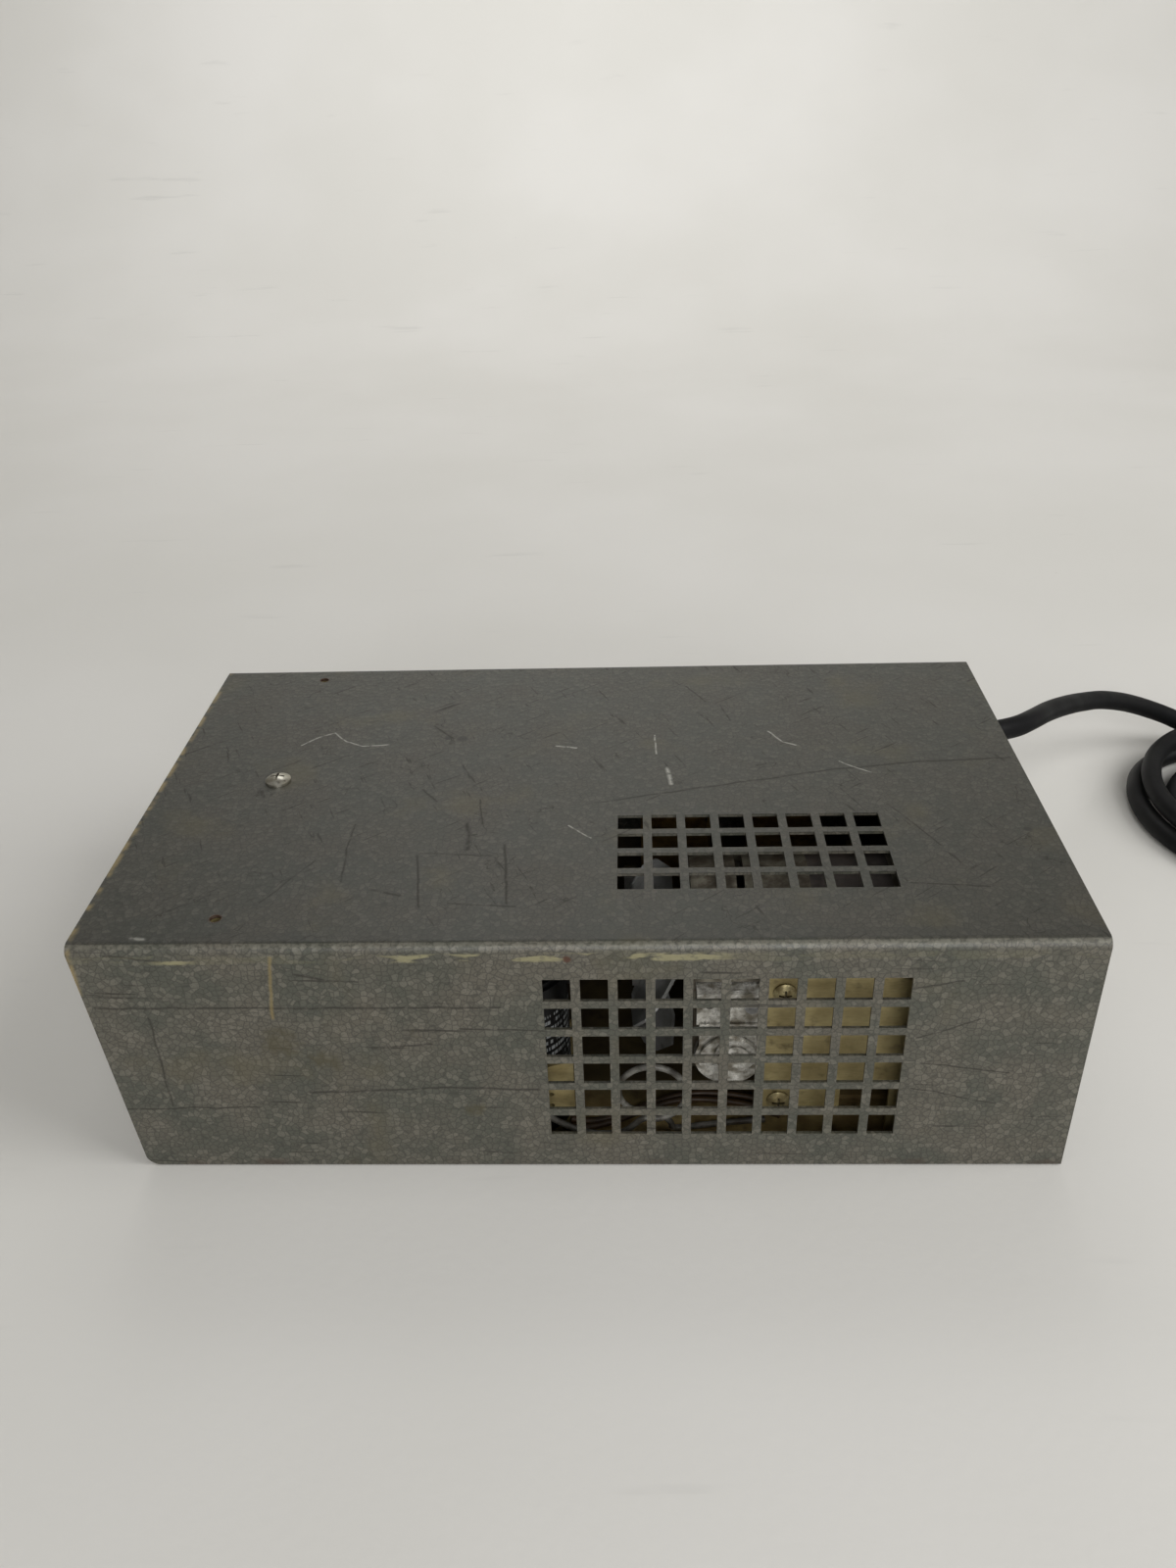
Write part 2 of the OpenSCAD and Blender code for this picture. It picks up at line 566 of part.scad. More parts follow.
module capacitor_bracket() color([0.7, 0.62, 0.4]) bench() difference() {
    union() {
        translate([0, 10.3, 0]) rotate([90, 0, 0]) linear_extrude(1.5) polygon([[132, pan_t], [150, pan_t],
            [150, 17], [168.5, 17], [168.5, 44], [160, 41.5], [132, 30]]);
        translate([132, 8.8, pan_t]) cube([34, 38, 1.5]);
        translate([132, 45.5, pan_t]) cube([34, 1.5, 28]);
    }
    for (z = [22, 27.5]) rod_y(160, 0, z, 20, 0.9);
}

module transformer_core() color([0.25, 0.24, 0.24]) bench() difference() {
    translate([296, 126, pan_t]) cube([22, 46, 40]);
    for (y = [134, 154]) translate([290, y, 8.5]) cube([34, 10, 26]);
}

module transformer_coil() color([0.72, 0.66, 0.5]) bench() difference() {
    translate([290, 134.3, 8.8]) cube([34, 29.4, 25.4]);
    translate([295.9, 144, 0]) cube([22.2, 10, 44]);
}

hinge_y = relay_y + 35.5;         // the relays' hinge pins
hinge_z = 43.4;

// Frame, coil and contact block of a relay, with the pin that its armature rocks on.
module relay(x) {
    difference() {
        union() {
            translate([x, relay_y, pan_t]) cube([30, 34, 2]);
            translate([x, relay_y + 32, pan_t]) cube([30, 2, 36]);
            for (dx = [-1.5, 30]) translate([x + dx, relay_y + 32, pan_t]) cube([1.5, 7, 45]);
            rod_x(x - 1.5, hinge_y, hinge_z, 33, 1.5);
            translate([x + 15, relay_y + 14, pan_t]) cylinder(h = 34, r = 4);
            translate([x + 15, relay_y + 14, pan_t + 4]) cylinder(h = 26, r = 11);
        }
        for (dx = [3.6, 26.4]) translate([x + dx, relay_y + 3.6, 0]) cylinder(h = 5, r = 2);
    }
    translate([x + 2, relay_y - 12, pan_t]) cube([26, 11, 30]);
}

module open_relay() color([0.62, 0.36, 0.2]) bench() relay(relay_x[0]);
module close_relay() color([0.62, 0.36, 0.2]) bench() relay(relay_x[1]);

// A relay's moving plate, which rocks on a pin at the top of the frame's back.
module armature(x) {
    difference() {
        union() {
            translate([x + 1, relay_y - 8, 38.5]) cube([28, 42, 2]);
            rod_x(x + 1, hinge_y, hinge_z, 28, 3);
            translate([x + 1, relay_y + 32.6, 38.5]) cube([28, 3, 5]);
        }
        rod_x(x, hinge_y, hinge_z, 30, 1.5 + slip);
    }
}

module open_armature() color([0.62, 0.6, 0.5]) bench() armature(relay_x[0]);
module close_armature() color([0.62, 0.6, 0.5]) bench() armature(relay_x[1]);

// Overload breaker behind the right end plate, with a blind bore for its button.
module overload_breaker() color([0.1, 0.1, 0.1]) bench() difference() {
    translate([pan_x1 - 27.5, button_y - 11, button_z - 13]) cube([26, 22, 26]);
    rod_x(pan_x1 - 17, button_y, button_z, 20, 4.3);
}

module reset_button() color([0.6, 0.1, 0.08]) bench() rod_x(pan_x1 - 13, button_y, button_z, 20, 4);

module terminal_strip() color([0.12, 0.1, 0.09]) bench() difference() {
    translate([pan_x1, 48, 62]) cube([6, 62, 16]);
    for (y = [58:14:100]) rod_x(pan_x1 - cut, y, 70, 8, 2);
    for (y = [65:14:93]) translate([pan_x1 + 3, y - 1, 61]) cube([4, 2, 18]);
}

module terminal_screws() color([0.72, 0.64, 0.4]) bench() for (y = [58:14:100]) difference() {
    union() {
        rod_x(pan_x1 - 4, y, 70, 10, 1.95);
        rod_x(pan_x1 + 6, y, 70, 2, 3.6);
    }
    translate([pan_x1 + 7.2, y - 0.5, 65]) cube([2, 1, 10]);
}

// The white lead runs along the pan, makes one loop that stands up and runs on.
loop_r = 12.5;
loop_at = [197, 12, 25];
loop_route = [for (a = [-105:24:255])
    loop_at + [loop_r * cos(a), (a + 105) / 360 * 2.8 - 1, loop_r * sin(a)]];
module white_lead() color([0.85, 0.85, 0.82]) bench()
    tube(concat(white_start, loop_route, white_end), 2.4, 8, [0, 1, 0]);

module brown_leads() color([0.55, 0.27, 0.12]) bench() {
    tube(brown_route, 2.6, 8, [0, 0, 1]);
    tube([for (p = brown_route) p + [3, 3.4, 0]], 2.6, 8, [0, 0, 1]);
}

// ---- Cord ----

module strain_relief() color([0.05, 0.05, 0.05]) bench() translate([0, cord_y, cord_z]) difference() {
    rotate([0, 90, 0]) rotate_extrude() polygon([[0, pan_x1 - 17], [9.5, pan_x1 - 17], [9.5, pan_x1 - 1.5],
        [7.9, pan_x1 - 1.5], [7.9, pan_x1], [10.5, pan_x1], [10.5, pan_x1 + 3.5], [7.4, pan_x1 + 5],
        [6, 352], [0, 352]]);
    for (x = [pan_x1 + 6, pan_x1 + 9, pan_x1 + 12]) difference() {
        rod_x(x, 0, 0, 1.2, 12);
        rod_x(x - cut, 0, 0, 4, 5.6);
    }
}

module power_cord() color([0.05, 0.05, 0.05]) bench() tube(cord_route, cord_d, 10, [0, 0, 1]);

// Radius of the cord's turns, and its place after it has turned by t degrees: clockwise from the back.
tail_from = 990;
tail_to = 1200;
function tail_r(t) = 60 - 26 * (t - tail_from) / (tail_to - tail_from);
function tail_at(t) = [coil_x + tail_r(t) * cos(90 - t), coil_y + tail_r(t) * sin(90 - t), cord_d / 2];

module cord_coil() color([0.05, 0.05, 0.05]) bench() translate([coil_x, coil_y, 0]) rotate_extrude()
    polygon([[62, 2], [64, 0], [80, 0], [82.2, 2], [82.2, 8], [76, 20], [66, 20], [62, 10]]);

module cord_tail() color([0.05, 0.05, 0.05]) bench()
    tube([for (t = [tail_from:15:tail_to]) tail_at(t)], cord_d, 10, [0, 0, 1]);

// Moves a child that points along +X to the tail's end.
module at_tail() {
    end = tail_at(tail_to);
    way = end - tail_at(tail_to - 5);
    translate(end) rotate(atan2(way[1], way[0])) children();
}

module plug() color([0.05, 0.05, 0.05]) bench() at_tail() difference() {
    union() {
        rotate([0, 90, 0]) cylinder(h = 16, r = cord_d / 2);
        translate([14, -13, -cord_d / 2]) cube([20, 26, 15]);
    }
    for (x = [17:3:26], y = [-14, 12]) translate([x, y, -6]) cube([1.2, 2, 20]);
    for (y = [-6.35, 6.35]) translate([29, y - 0.75, -0.5]) cube([8, 1.5, 6.4]);
    translate([29, 0, 6.8]) rotate([0, 90, 0]) cylinder(h = 8, r = 2.4);
}

module plug_blades() color([0.72, 0.66, 0.45]) bench() at_tail() {
    for (y = [-6.35, 6.35]) translate([29, y - 0.75, -0.5]) cube([22, 1.5, 6.4]);
    translate([29, 0, 6.8]) rotate([0, 90, 0]) cylinder(h = 24, r = 2.4);
}

hood();
hood_screw();
hood_bridge();
hood_clips();
base_pan();
end_plate_left();
end_plate_right();
chassis_screws();
rail_saddle();
gear_case();
gear_case_lid();
case_screws();
worm_bushes();
output_bushes();
worm();
shaft_coupling();
worm_wheel();
wheel_pin();
output_shaft();
drive_sprocket();
sprocket_collar();
motor_bell_left();
motor_bell_right();
switch_cover();
switch_cover_screw();
stator_core();
stator_windings();
motor_bolts();
shaft_bushes();
motor_shaft();
rotor();
cooling_fan();
motor_cradle();
control_plate();
plate_screws();
capacitor();
capacitor_bracket();
transformer_core();
transformer_coil();
open_relay();
close_relay();
open_armature();
close_armature();
overload_breaker();
reset_button();
terminal_strip();
terminal_screws();
white_lead();
brown_leads();
strain_relief();
power_cord();
cord_coil();
cord_tail();
plug();
plug_blades();
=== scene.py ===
"""Looks of a ceiling garage door opener head that lies on a pale table.

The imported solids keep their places. This script gives each of them a procedural finish, builds the
mains cord, its plug and strain relief, the leads and the windings as smooth surfaces of their own, and
sets the table, the lights and the camera. Lengths are in metres unless a name ends in _mm; places on the
bench are in millimetres from the hood's left edge, its front face and the table.
"""

import logging
import math
from dataclasses import dataclass, field
from enum import Enum
from typing import Callable, Sequence

import bpy
import numpy as np
from mathutils import Matrix, Vector


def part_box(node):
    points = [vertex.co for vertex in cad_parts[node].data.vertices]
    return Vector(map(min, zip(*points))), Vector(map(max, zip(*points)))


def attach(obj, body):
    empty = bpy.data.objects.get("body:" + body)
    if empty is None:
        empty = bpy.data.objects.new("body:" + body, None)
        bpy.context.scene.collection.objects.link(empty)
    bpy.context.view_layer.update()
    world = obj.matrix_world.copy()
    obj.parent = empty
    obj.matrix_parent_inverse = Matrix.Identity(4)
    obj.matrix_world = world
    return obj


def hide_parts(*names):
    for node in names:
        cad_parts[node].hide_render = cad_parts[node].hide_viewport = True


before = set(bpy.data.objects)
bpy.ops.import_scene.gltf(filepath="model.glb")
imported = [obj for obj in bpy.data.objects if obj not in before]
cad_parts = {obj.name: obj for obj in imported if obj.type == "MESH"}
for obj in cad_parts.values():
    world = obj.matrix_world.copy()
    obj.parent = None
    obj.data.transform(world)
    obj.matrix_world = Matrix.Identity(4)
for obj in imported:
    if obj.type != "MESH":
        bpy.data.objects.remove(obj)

LOG = logging.getLogger("opener")
HOOD_W_MM = 346.5
HOOD_D_MM = 209.2
HOOD_H_MM = 104.5
Point = Sequence[float]


def place(x: float, y: float, z: float) -> Vector:
    """Returns the row-frame place, in metres, of a bench place in millimetres.

    Args:
        x: distance from the hood's left edge.
        y: distance behind the hood's front face.
        z: height over the table.
    """
    return Vector(((x - HOOD_W_MM / 2) / 1000, (y - HOOD_D_MM / 2) / 1000, z / 1000))


def smooth_step(t: float) -> float:
    """Returns the cubic ease of t, which is held between 0 and 1."""
    t = min(max(t, 0.0), 1.0)
    return t * t * (3 - 2 * t)


def paint(red: float, green: float, blue: float) -> tuple[float, float, float, float]:
    """Returns the linear colour, with alpha 1, of display values from 0 to 255."""

    def linear(v: float) -> float:
        v /= 255
        return v / 12.92 if v <= 0.04045 else ((v + 0.055) / 1.055) ** 2.4

    return (linear(red), linear(green), linear(blue), 1.0)


class Body(Enum):
    """Rigid bodies of the part that the new pieces ride on."""

    CHASSIS = "chassis"


# ---- Shader building ----


class Graph:
    """Builds the shader nodes of one material."""

    def __init__(self, name: str) -> None:
        """Starts a material with one surface shader.

        Args:
            name: the material's name.
        """
        self.material = bpy.data.materials.new(name)
        self.material.use_nodes = True
        self.nodes = self.material.node_tree.nodes
        self.links = self.material.node_tree.links
        self.nodes.clear()
        self.shader = self.nodes.new("ShaderNodeBsdfPrincipled")
        out = self.nodes.new("ShaderNodeOutputMaterial")
        self.links.new(self.shader.outputs[0], out.inputs[0])
        self.here = self.nodes.new("ShaderNodeTexCoord").outputs["Object"]

    def feed(self, socket, value) -> None:
        """Links value into socket if it is another socket, and otherwise stores it there."""
        if isinstance(value, bpy.types.NodeSocket):
            self.links.new(value, socket)
        else:
            socket.default_value = value

    def math(self, operation: str, a, b=0.0, clamp: bool = False):
        """Returns the result of a math node."""
        node = self.nodes.new("ShaderNodeMath")
        node.operation, node.use_clamp = operation, clamp
        self.feed(node.inputs[0], a)
        self.feed(node.inputs[1], b)
        return node.outputs[0]

    def vector(self, operation: str, a, b=(0.0, 0.0, 0.0)):
        """Returns the vector result of a vector math node."""
        node = self.nodes.new("ShaderNodeVectorMath")
        node.operation = operation
        self.feed(node.inputs[0], a)
        self.feed(node.inputs[1], b)
        return node.outputs["Value" if operation in ("LENGTH", "DOT_PRODUCT") else "Vector"]

    def stretched(self, scale: Point, turn: Point = (0.0, 0.0, 0.0)):
        """Returns the place, first turned by Euler angles in degrees and then scaled along each axis."""
        node = self.nodes.new("ShaderNodeMapping")
        node.vector_type = "TEXTURE"
        self.feed(node.inputs["Vector"], self.here)
        node.inputs["Rotation"].default_value = [math.radians(a) for a in turn]
        node.inputs["Scale"].default_value = [1 / s for s in scale]
        return node.outputs[0]

    def axes(self, vector=None):
        """Returns the three coordinates of a place."""
        node = self.nodes.new("ShaderNodeSeparateXYZ")
        self.feed(node.inputs[0], self.here if vector is None else vector)
        return node.outputs[0], node.outputs[1], node.outputs[2]

    def join(self, x, y, z=0.0):
        """Returns the vector of three coordinates."""
        node = self.nodes.new("ShaderNodeCombineXYZ")
        for socket, value in zip(node.inputs, (x, y, z)):
            self.feed(socket, value)
        return node.outputs[0]

    def noise(self, scale: float, detail: float = 2.0, vector=None, colour: bool = False):
        """Returns fractal noise, as a value or as a colour."""
        node = self.nodes.new("ShaderNodeTexNoise")
        self.feed(node.inputs["Vector"], self.here if vector is None else vector)
        node.inputs["Scale"].default_value = scale
        node.inputs["Detail"].default_value = detail
        return node.outputs["Color" if colour else "Fac"]

    def cells(self, scale: float, feature: str = "F1", vector=None, colour: bool = False):
        """Returns a Voronoi distance, or the colour of each cell."""
        node = self.nodes.new("ShaderNodeTexVoronoi")
        node.feature = feature
        self.feed(node.inputs["Vector"], self.here if vector is None else vector)
        node.inputs["Scale"].default_value = scale
        return node.outputs["Color" if colour else "Distance"]

    def ramp(self, value, low: float, high: float, to_low: float = 0.0, to_high: float = 1.0):
        """Returns a smooth step of value from low to high, with the two results given."""
        node = self.nodes.new("ShaderNodeMapRange")
        node.interpolation_type = "SMOOTHSTEP"
        self.feed(node.inputs["Value"], value)
        for name, number in (("From Min", low), ("From Max", high), ("To Min", to_low), ("To Max", to_high)):
            node.inputs[name].default_value = number
        return node.outputs[0]

    def within(self, value, low: float, high: float, soft: float):
        """Returns 1 where value lies from low to high and 0 outside, with soft ends."""
        return self.math("MULTIPLY", self.ramp(value, low - soft, low + soft),
                         self.ramp(value, high - soft, high + soft, 1.0, 0.0))

    def mix(self, share, a, b):
        """Returns colour a blended towards colour b by share."""
        node = self.nodes.new("ShaderNodeMix")
        node.data_type = "RGBA"
        self.feed(node.inputs[0], share)
        self.feed(node.inputs[6], a)
        self.feed(node.inputs[7], b)
        return node.outputs[2]

    def product(self, *values):
        """Returns the product of several values."""
        total = values[0]
        for value in values[1:]:
            total = self.math("MULTIPLY", total, value)
        return total

    def most(self, *values):
        """Returns the largest of several values."""
        total = values[0]
        for value in values[1:]:
            total = self.math("MAXIMUM", total, value)
        return total

    def relief(self, height, depth: float, strength: float = 1.0, under=None):
        """Returns a bumped normal, laid over another one if it is given.

        Args:
            height: the height, from 0 to 1.
            depth: metres that a height of 1 stands for.
            strength: how much of it shows.
            under: the normal below.
        """
        node = self.nodes.new("ShaderNodeBump")
        node.inputs["Strength"].default_value = strength
        node.inputs["Distance"].default_value = depth
        self.feed(node.inputs["Height"], height)
        if under is not None:
            self.feed(node.inputs["Normal"], under)
        return node.outputs[0]

    def surface(self, colour, roughness, metallic=0.0, normal=None) -> bpy.types.Material:
        """Finishes the material and returns it."""
        self.feed(self.shader.inputs["Base Color"], colour)
        self.feed(self.shader.inputs["Roughness"], roughness)
        self.feed(self.shader.inputs["Metallic"], metallic)
        if normal is not None:
            self.feed(self.shader.inputs["Normal"], normal)
        return self.material


@dataclass(frozen=True)
class Finish:
    """A general finish: two mixed tones, uneven gloss, fine grain, some dirt, and painted shade in recesses and deep
    inside the hood.

    Attributes:
        name: material name.
        light, dark: display colours of its two tones.
        rough: mean roughness.
        metal: metallic share.
        patch_mm: size of the tone patches.
        grain_mm: size of the surface grain.
        grain_depth_mm: depth of that grain.
        dirt: share of brown dirt in the patches.
        drawn: how much longer the grain is along X than across.
        recess_shade_mm: reach of the painted shade in recesses, or 0 for none.
        gloss: strength of the mirror part of the light it returns.
        shade_from_mm: depth behind the hood's front where painted shade, darkening towards near black, begins, or 0
            for none.
    """

    name: str
    light: tuple[float, float, float]
    dark: tuple[float, float, float]
    rough: float = 0.5
    metal: float = 0.0
    patch_mm: float = 18.0
    grain_mm: float = 0.8
    grain_depth_mm: float = 0.03
    dirt: float = 0.0
    drawn: float = 1.0
    recess_shade_mm: float = 0.0
    gloss: float = 0.5
    shade_from_mm: float = 0.0

    def material(self) -> bpy.types.Material:
        """Returns the material of this finish."""
        g = Graph(self.name)
        patches = g.noise(1000 / self.patch_mm, 5.0)
        colour = g.mix(g.ramp(patches, 0.32, 0.68), paint(*self.dark), paint(*self.light))
        long_way = g.stretched((1 / self.drawn, 1.0, 1.0))
        grain = g.noise(1000 / self.grain_mm, 3.0, long_way)
        colour = g.mix(g.ramp(grain, 0.35, 0.8, 0.0, 0.22), colour, paint(*[v * 0.55 for v in self.dark]))
        if self.dirt:
            soil = g.ramp(g.noise(2400 / self.patch_mm, 6.0), 0.62 - 0.25 * self.dirt, 0.86)
            colour = g.mix(soil, colour, paint(52, 38, 22))
        # Painted shade: from this depth behind the hood's front inwards, the colour darkens towards near black.
        if self.shade_from_mm:
            start = (self.shade_from_mm - HOOD_D_MM / 2) / 1000
            depth = g.math("ADD", g.axes()[1], g.math("MULTIPLY", patches, 0.012))
            colour = g.mix(g.ramp(depth, start, start + 0.03, 0.0, 0.86), colour, paint(20, 17, 12))
        # Painted shade: ambient occlusion darkens the colour towards near black in recesses.
        if self.recess_shade_mm:
            shade_probe = g.nodes.new("ShaderNodeAmbientOcclusion")
            shade_probe.samples = 6
            shade_probe.inputs["Distance"].default_value = self.recess_shade_mm / 1000
            colour = g.mix(g.ramp(shade_probe.outputs["AO"], 0.25, 0.75, 0.9, 0.0), colour, paint(16, 14, 10))
        rough = g.ramp(patches, 0.2, 0.8, self.rough * 1.25, self.rough * 0.8)
        g.shader.inputs["Specular IOR Level"].default_value = self.gloss
        return g.surface(colour, rough, self.metal, g.relief(grain, self.grain_depth_mm / 1000, 0.8))


@dataclass(frozen=True)
class Scratch:
    """A line of straight strokes on a face, in bench millimetres along and across that face."""

    points: tuple[tuple[float, float], ...]
    width: float = 0.45


TOP_DARK = (
    Scratch(((176.7, 87.4), (212, 96.1), (271.5, 110.4), (307.6, 115.8), (342.6, 118)), 0.6),
    Scratch(((112.3, 52.5), (116.9, 21))), Scratch(((112.9, 53.7), (139.1, 52)), 0.35),
    Scratch(((143.5, 59.6), (147.2, 22.8)), 0.5), Scratch(((127.1, 23.1), (150.1, 21))),
    Scratch(((84.8, 74), (84.8, 58.1), (86.9, 36.4)), 0.4), Scratch(((60.4, 24), (74.4, 50)), 0.35),
    Scratch(((127.8, 73.1), (130.1, 65.1), (130, 56)), 0.9), Scratch(((98.3, 31.5), (109, 27.9)), 0.6),
    Scratch(((105.5, 151.2), (114.5, 140.5)), 0.5), Scratch(((108.1, 98.4), (114.4, 89.5)), 0.5),
    Scratch(((130.9, 90.6), (134.1, 73)), 0.35), Scratch(((288.3, 84.3), (302.7, 56)), 0.35),
    Scratch(((287.7, 33.2), (313.9, 30)), 0.4), Scratch(((215.7, 186), (223.7, 170.4)), 0.4),
    Scratch(((230, 166.5), (233.3, 152.8)), 0.35))
TOP_PALE = (
    Scratch(((50.1, 135.5), (57, 143), (62.7, 146.3), (69.3, 138.4), (76.9, 133.9), (87.9, 135.3)), 0.35),
    Scratch(((205.2, 112.9), (206.4, 100.6)), 0.7), Scratch(((248.7, 142.7), (253.5, 133.3), (260, 129.8)), 0.35),
    Scratch(((200.9, 140.7), (201, 124.9)), 0.35), Scratch(((275.1, 116.6), (285.9, 107.8)), 0.35),
    Scratch(((158.9, 132.6), (167.6, 130.7)), 0.5), Scratch(((166.6, 71.7), (175.4, 62.9)), 0.3),
    Scratch(((22, 4.6), (26.1, 4.4)), 0.8))
FRONT_DARK = (
    Scratch(((4.9, 78.1), (74.1, 77.6), (144.7, 77.5)), 0.5), Scratch(((74, 37.7), (122.1, 39.9), (156.4, 38.8)), 0.5),
    Scratch(((2.1, 30), (53.9, 30.4)), 0.35), Scratch(((22.8, 73.5), (22.4, 31.5)), 0.45),
    Scratch(((99, 58.9), (119.9, 60.6)), 0.4), Scratch(((130.8, 67.8), (159.6, 66.7)), 0.35),
    Scratch(((283.4, 84.3), (300.7, 88.4)), 0.35), Scratch(((287.4, 62.4), (307.8, 71.1)), 0.35),
    Scratch(((290.2, 51), (321.2, 46.2)), 0.35), Scratch(((288.1, 39.2), (318.2, 31.5)), 0.3),
    Scratch(((76.4, 92.3), (86.1, 90.1)), 0.5), Scratch(((13.1, 101.3), (38.9, 96.9)), 0.35))
FRONT_YELLOW = (Scratch(((69.3, 99.6), (65.9, 73.2)), 0.6),)


@dataclass(frozen=True)
class Spot:
    """A round mark on a face, with its middle and radius in bench millimetres."""

    a: float
    b: float
    radius: float


CHIPS = (Spot(336.6, 65.6, 1.9), Spot(118.8, 139.6, 3.2), Spot(138.8, 124.9, 1.5), Spot(112.5, 140.5, 2.0))
BLOTS = (Spot(133.0, 30.0, 5.0), Spot(67.0, 61.0, 10.0), Spot(79.0, 51.0, 10.0), Spot(115.5, 66.0, 3.0))
RUSTED_HOLES = (Spot(47.4, 15.6, 2.9), Spot(47.4, 197.6, 2.9))
RUST_FLECK = Spot(169.0, 98.3, 1.8)


@dataclass(frozen=True)
class HammerPaint:
    """The hood's hammertone enamel with its scratches, worn fold, stains, rusted holes and painted shade on its top
    face.

    Attributes:
        cell_mm: distance between the enamel's dimples.
        light, dark: display colours of its two tones.
        face_mm: how close to the outside a point counts as being on the front or the top.
        wobble_mm: how far the scratches wander from straight.
        stroke_scale: how much wider a scratch's soft edge is than its stated width.
        stroke_tools: holds the shared stroke group once it is made.
    """

    cell_mm: float = 2.3
    light: tuple[float, float, float] = (88, 84, 74)
    dark: tuple[float, float, float] = (73, 74, 65)
    face_mm: float = 0.3
    wobble_mm: float = 2.2
    stroke_scale: float = 1.6
    stroke_tools: dict[str, bpy.types.NodeTree] = field(default_factory=dict)

    def stroke_group(self) -> bpy.types.NodeTree:
        """Returns the node group that marks one straight stroke between two ends."""
        if "group" in self.stroke_tools:
            return self.stroke_tools["group"]
        tree = bpy.data.node_groups.new("stroke", "ShaderNodeTree")
        for name, kind in (("Place", "NodeSocketVector"), ("Start", "NodeSocketVector"),
                           ("Way", "NodeSocketVector"), ("Inverse", "NodeSocketFloat"),
                           ("Width", "NodeSocketFloat")):
            tree.interface.new_socket(name, in_out="INPUT", socket_type=kind)
        tree.interface.new_socket("Mark", in_out="OUTPUT", socket_type="NodeSocketFloat")
        entry, exit_ = tree.nodes.new("NodeGroupInput"), tree.nodes.new("NodeGroupOutput")

        def node(kind: str, operation: str, *inputs):
            made = tree.nodes.new(kind)
            made.operation = operation
            for socket, value in zip(made.inputs, inputs):
                tree.links.new(value, socket)
            return made

        offset = node("ShaderNodeVectorMath", "SUBTRACT", entry.outputs[0], entry.outputs[1])
        dot = node("ShaderNodeVectorMath", "DOT_PRODUCT", offset.outputs[0], entry.outputs[2])
        share = node("ShaderNodeMath", "MULTIPLY", dot.outputs["Value"], entry.outputs[3])
        share.use_clamp = True
        along = tree.nodes.new("ShaderNodeVectorMath")
        along.operation = "SCALE"
        tree.links.new(entry.outputs[2], along.inputs[0])
        tree.links.new(share.outputs[0], along.inputs["Scale"])
        away = node("ShaderNodeVectorMath", "DISTANCE", offset.outputs[0], along.outputs[0])
        ratio = node("ShaderNodeMath", "DIVIDE", away.outputs["Value"], entry.outputs[4])
        mark = tree.nodes.new("ShaderNodeMath")
        mark.operation, mark.use_clamp = "SUBTRACT", True
        mark.inputs[0].default_value = 1.0
        tree.links.new(ratio.outputs[0], mark.inputs[1])
        tree.links.new(mark.outputs[0], exit_.inputs[0])
        self.stroke_tools["group"] = tree
        return tree

    def strokes(self, g: Graph, spot, scratches: Sequence[Scratch]):
        """Returns the mark of a set of scratches.

        Args:
            g: the graph to build in.
            spot: the place on the face in bench millimetres.
            scratches: what to draw.
        """
        total = 0.0
        for scratch in scratches:
            for a, b in zip(scratch.points, scratch.points[1:]):
                way = (b[0] - a[0], b[1] - a[1], 0.0)
                node = g.nodes.new("ShaderNodeGroup")
                node.node_tree = self.stroke_group()
                g.feed(node.inputs[0], spot)
                node.inputs[1].default_value = (a[0], a[1], 0.0)
                node.inputs[2].default_value = way
                node.inputs[3].default_value = 1 / (way[0] ** 2 + way[1] ** 2)
                node.inputs[4].default_value = scratch.width * self.stroke_scale
                total = g.math("MAXIMUM", node.outputs[0], total)
        return total

    def material(self) -> bpy.types.Material:
        """Returns the enamel."""
        g = Graph("hammertone")
        mm = g.vector("MULTIPLY", g.here, (1000.0, 1000.0, 1000.0))
        mm = g.vector("ADD", mm, (HOOD_W_MM / 2, HOOD_D_MM / 2, 0.0))
        x, y, z = g.axes(mm)
        wobble = g.vector("MULTIPLY", g.noise(90.0, 3.0, colour=True), (self.wobble_mm,) * 3)
        u, v, w = g.axes(g.vector("ADD", mm, g.vector("ADD", wobble, (-self.wobble_mm / 2,) * 3)))
        front = g.math("LESS_THAN", y, self.face_mm)
        top = g.math("GREATER_THAN", z, HOOD_H_MM - self.face_mm)

        dimples = g.cells(1000 / self.cell_mm, "SMOOTH_F1")
        rings = g.cells(1000 / self.cell_mm, "DISTANCE_TO_EDGE")
        tones = g.axes(g.cells(1000 / self.cell_mm, colour=True))[0]
        broad = g.noise(38.0, 4.0)
        colour = g.mix(g.ramp(broad, 0.35, 0.65), paint(*self.dark), paint(*self.light))
        colour = g.mix(g.ramp(tones, 0.4, 1.0, 0.0, 0.42), colour, paint(116, 112, 101))
        colour = g.mix(g.ramp(rings, 0.0, 0.14, 0.58, 0.0), colour, paint(40, 40, 34))
        fine = g.noise(1900.0, 2.0)
        colour = g.mix(g.ramp(fine, 0.5, 0.72, 0.0, 0.55), colour, paint(44, 43, 37))
        # Painted shade: the top face is darkened halfway towards dark grey.
        colour = g.mix(g.product(top, 0.5), colour, paint(36, 37, 32))
        stain = g.ramp(g.noise(30.0, 6.0), 0.56, 0.74, 0.0, 0.34)
        colour = g.mix(stain, colour, paint(84, 77, 52))

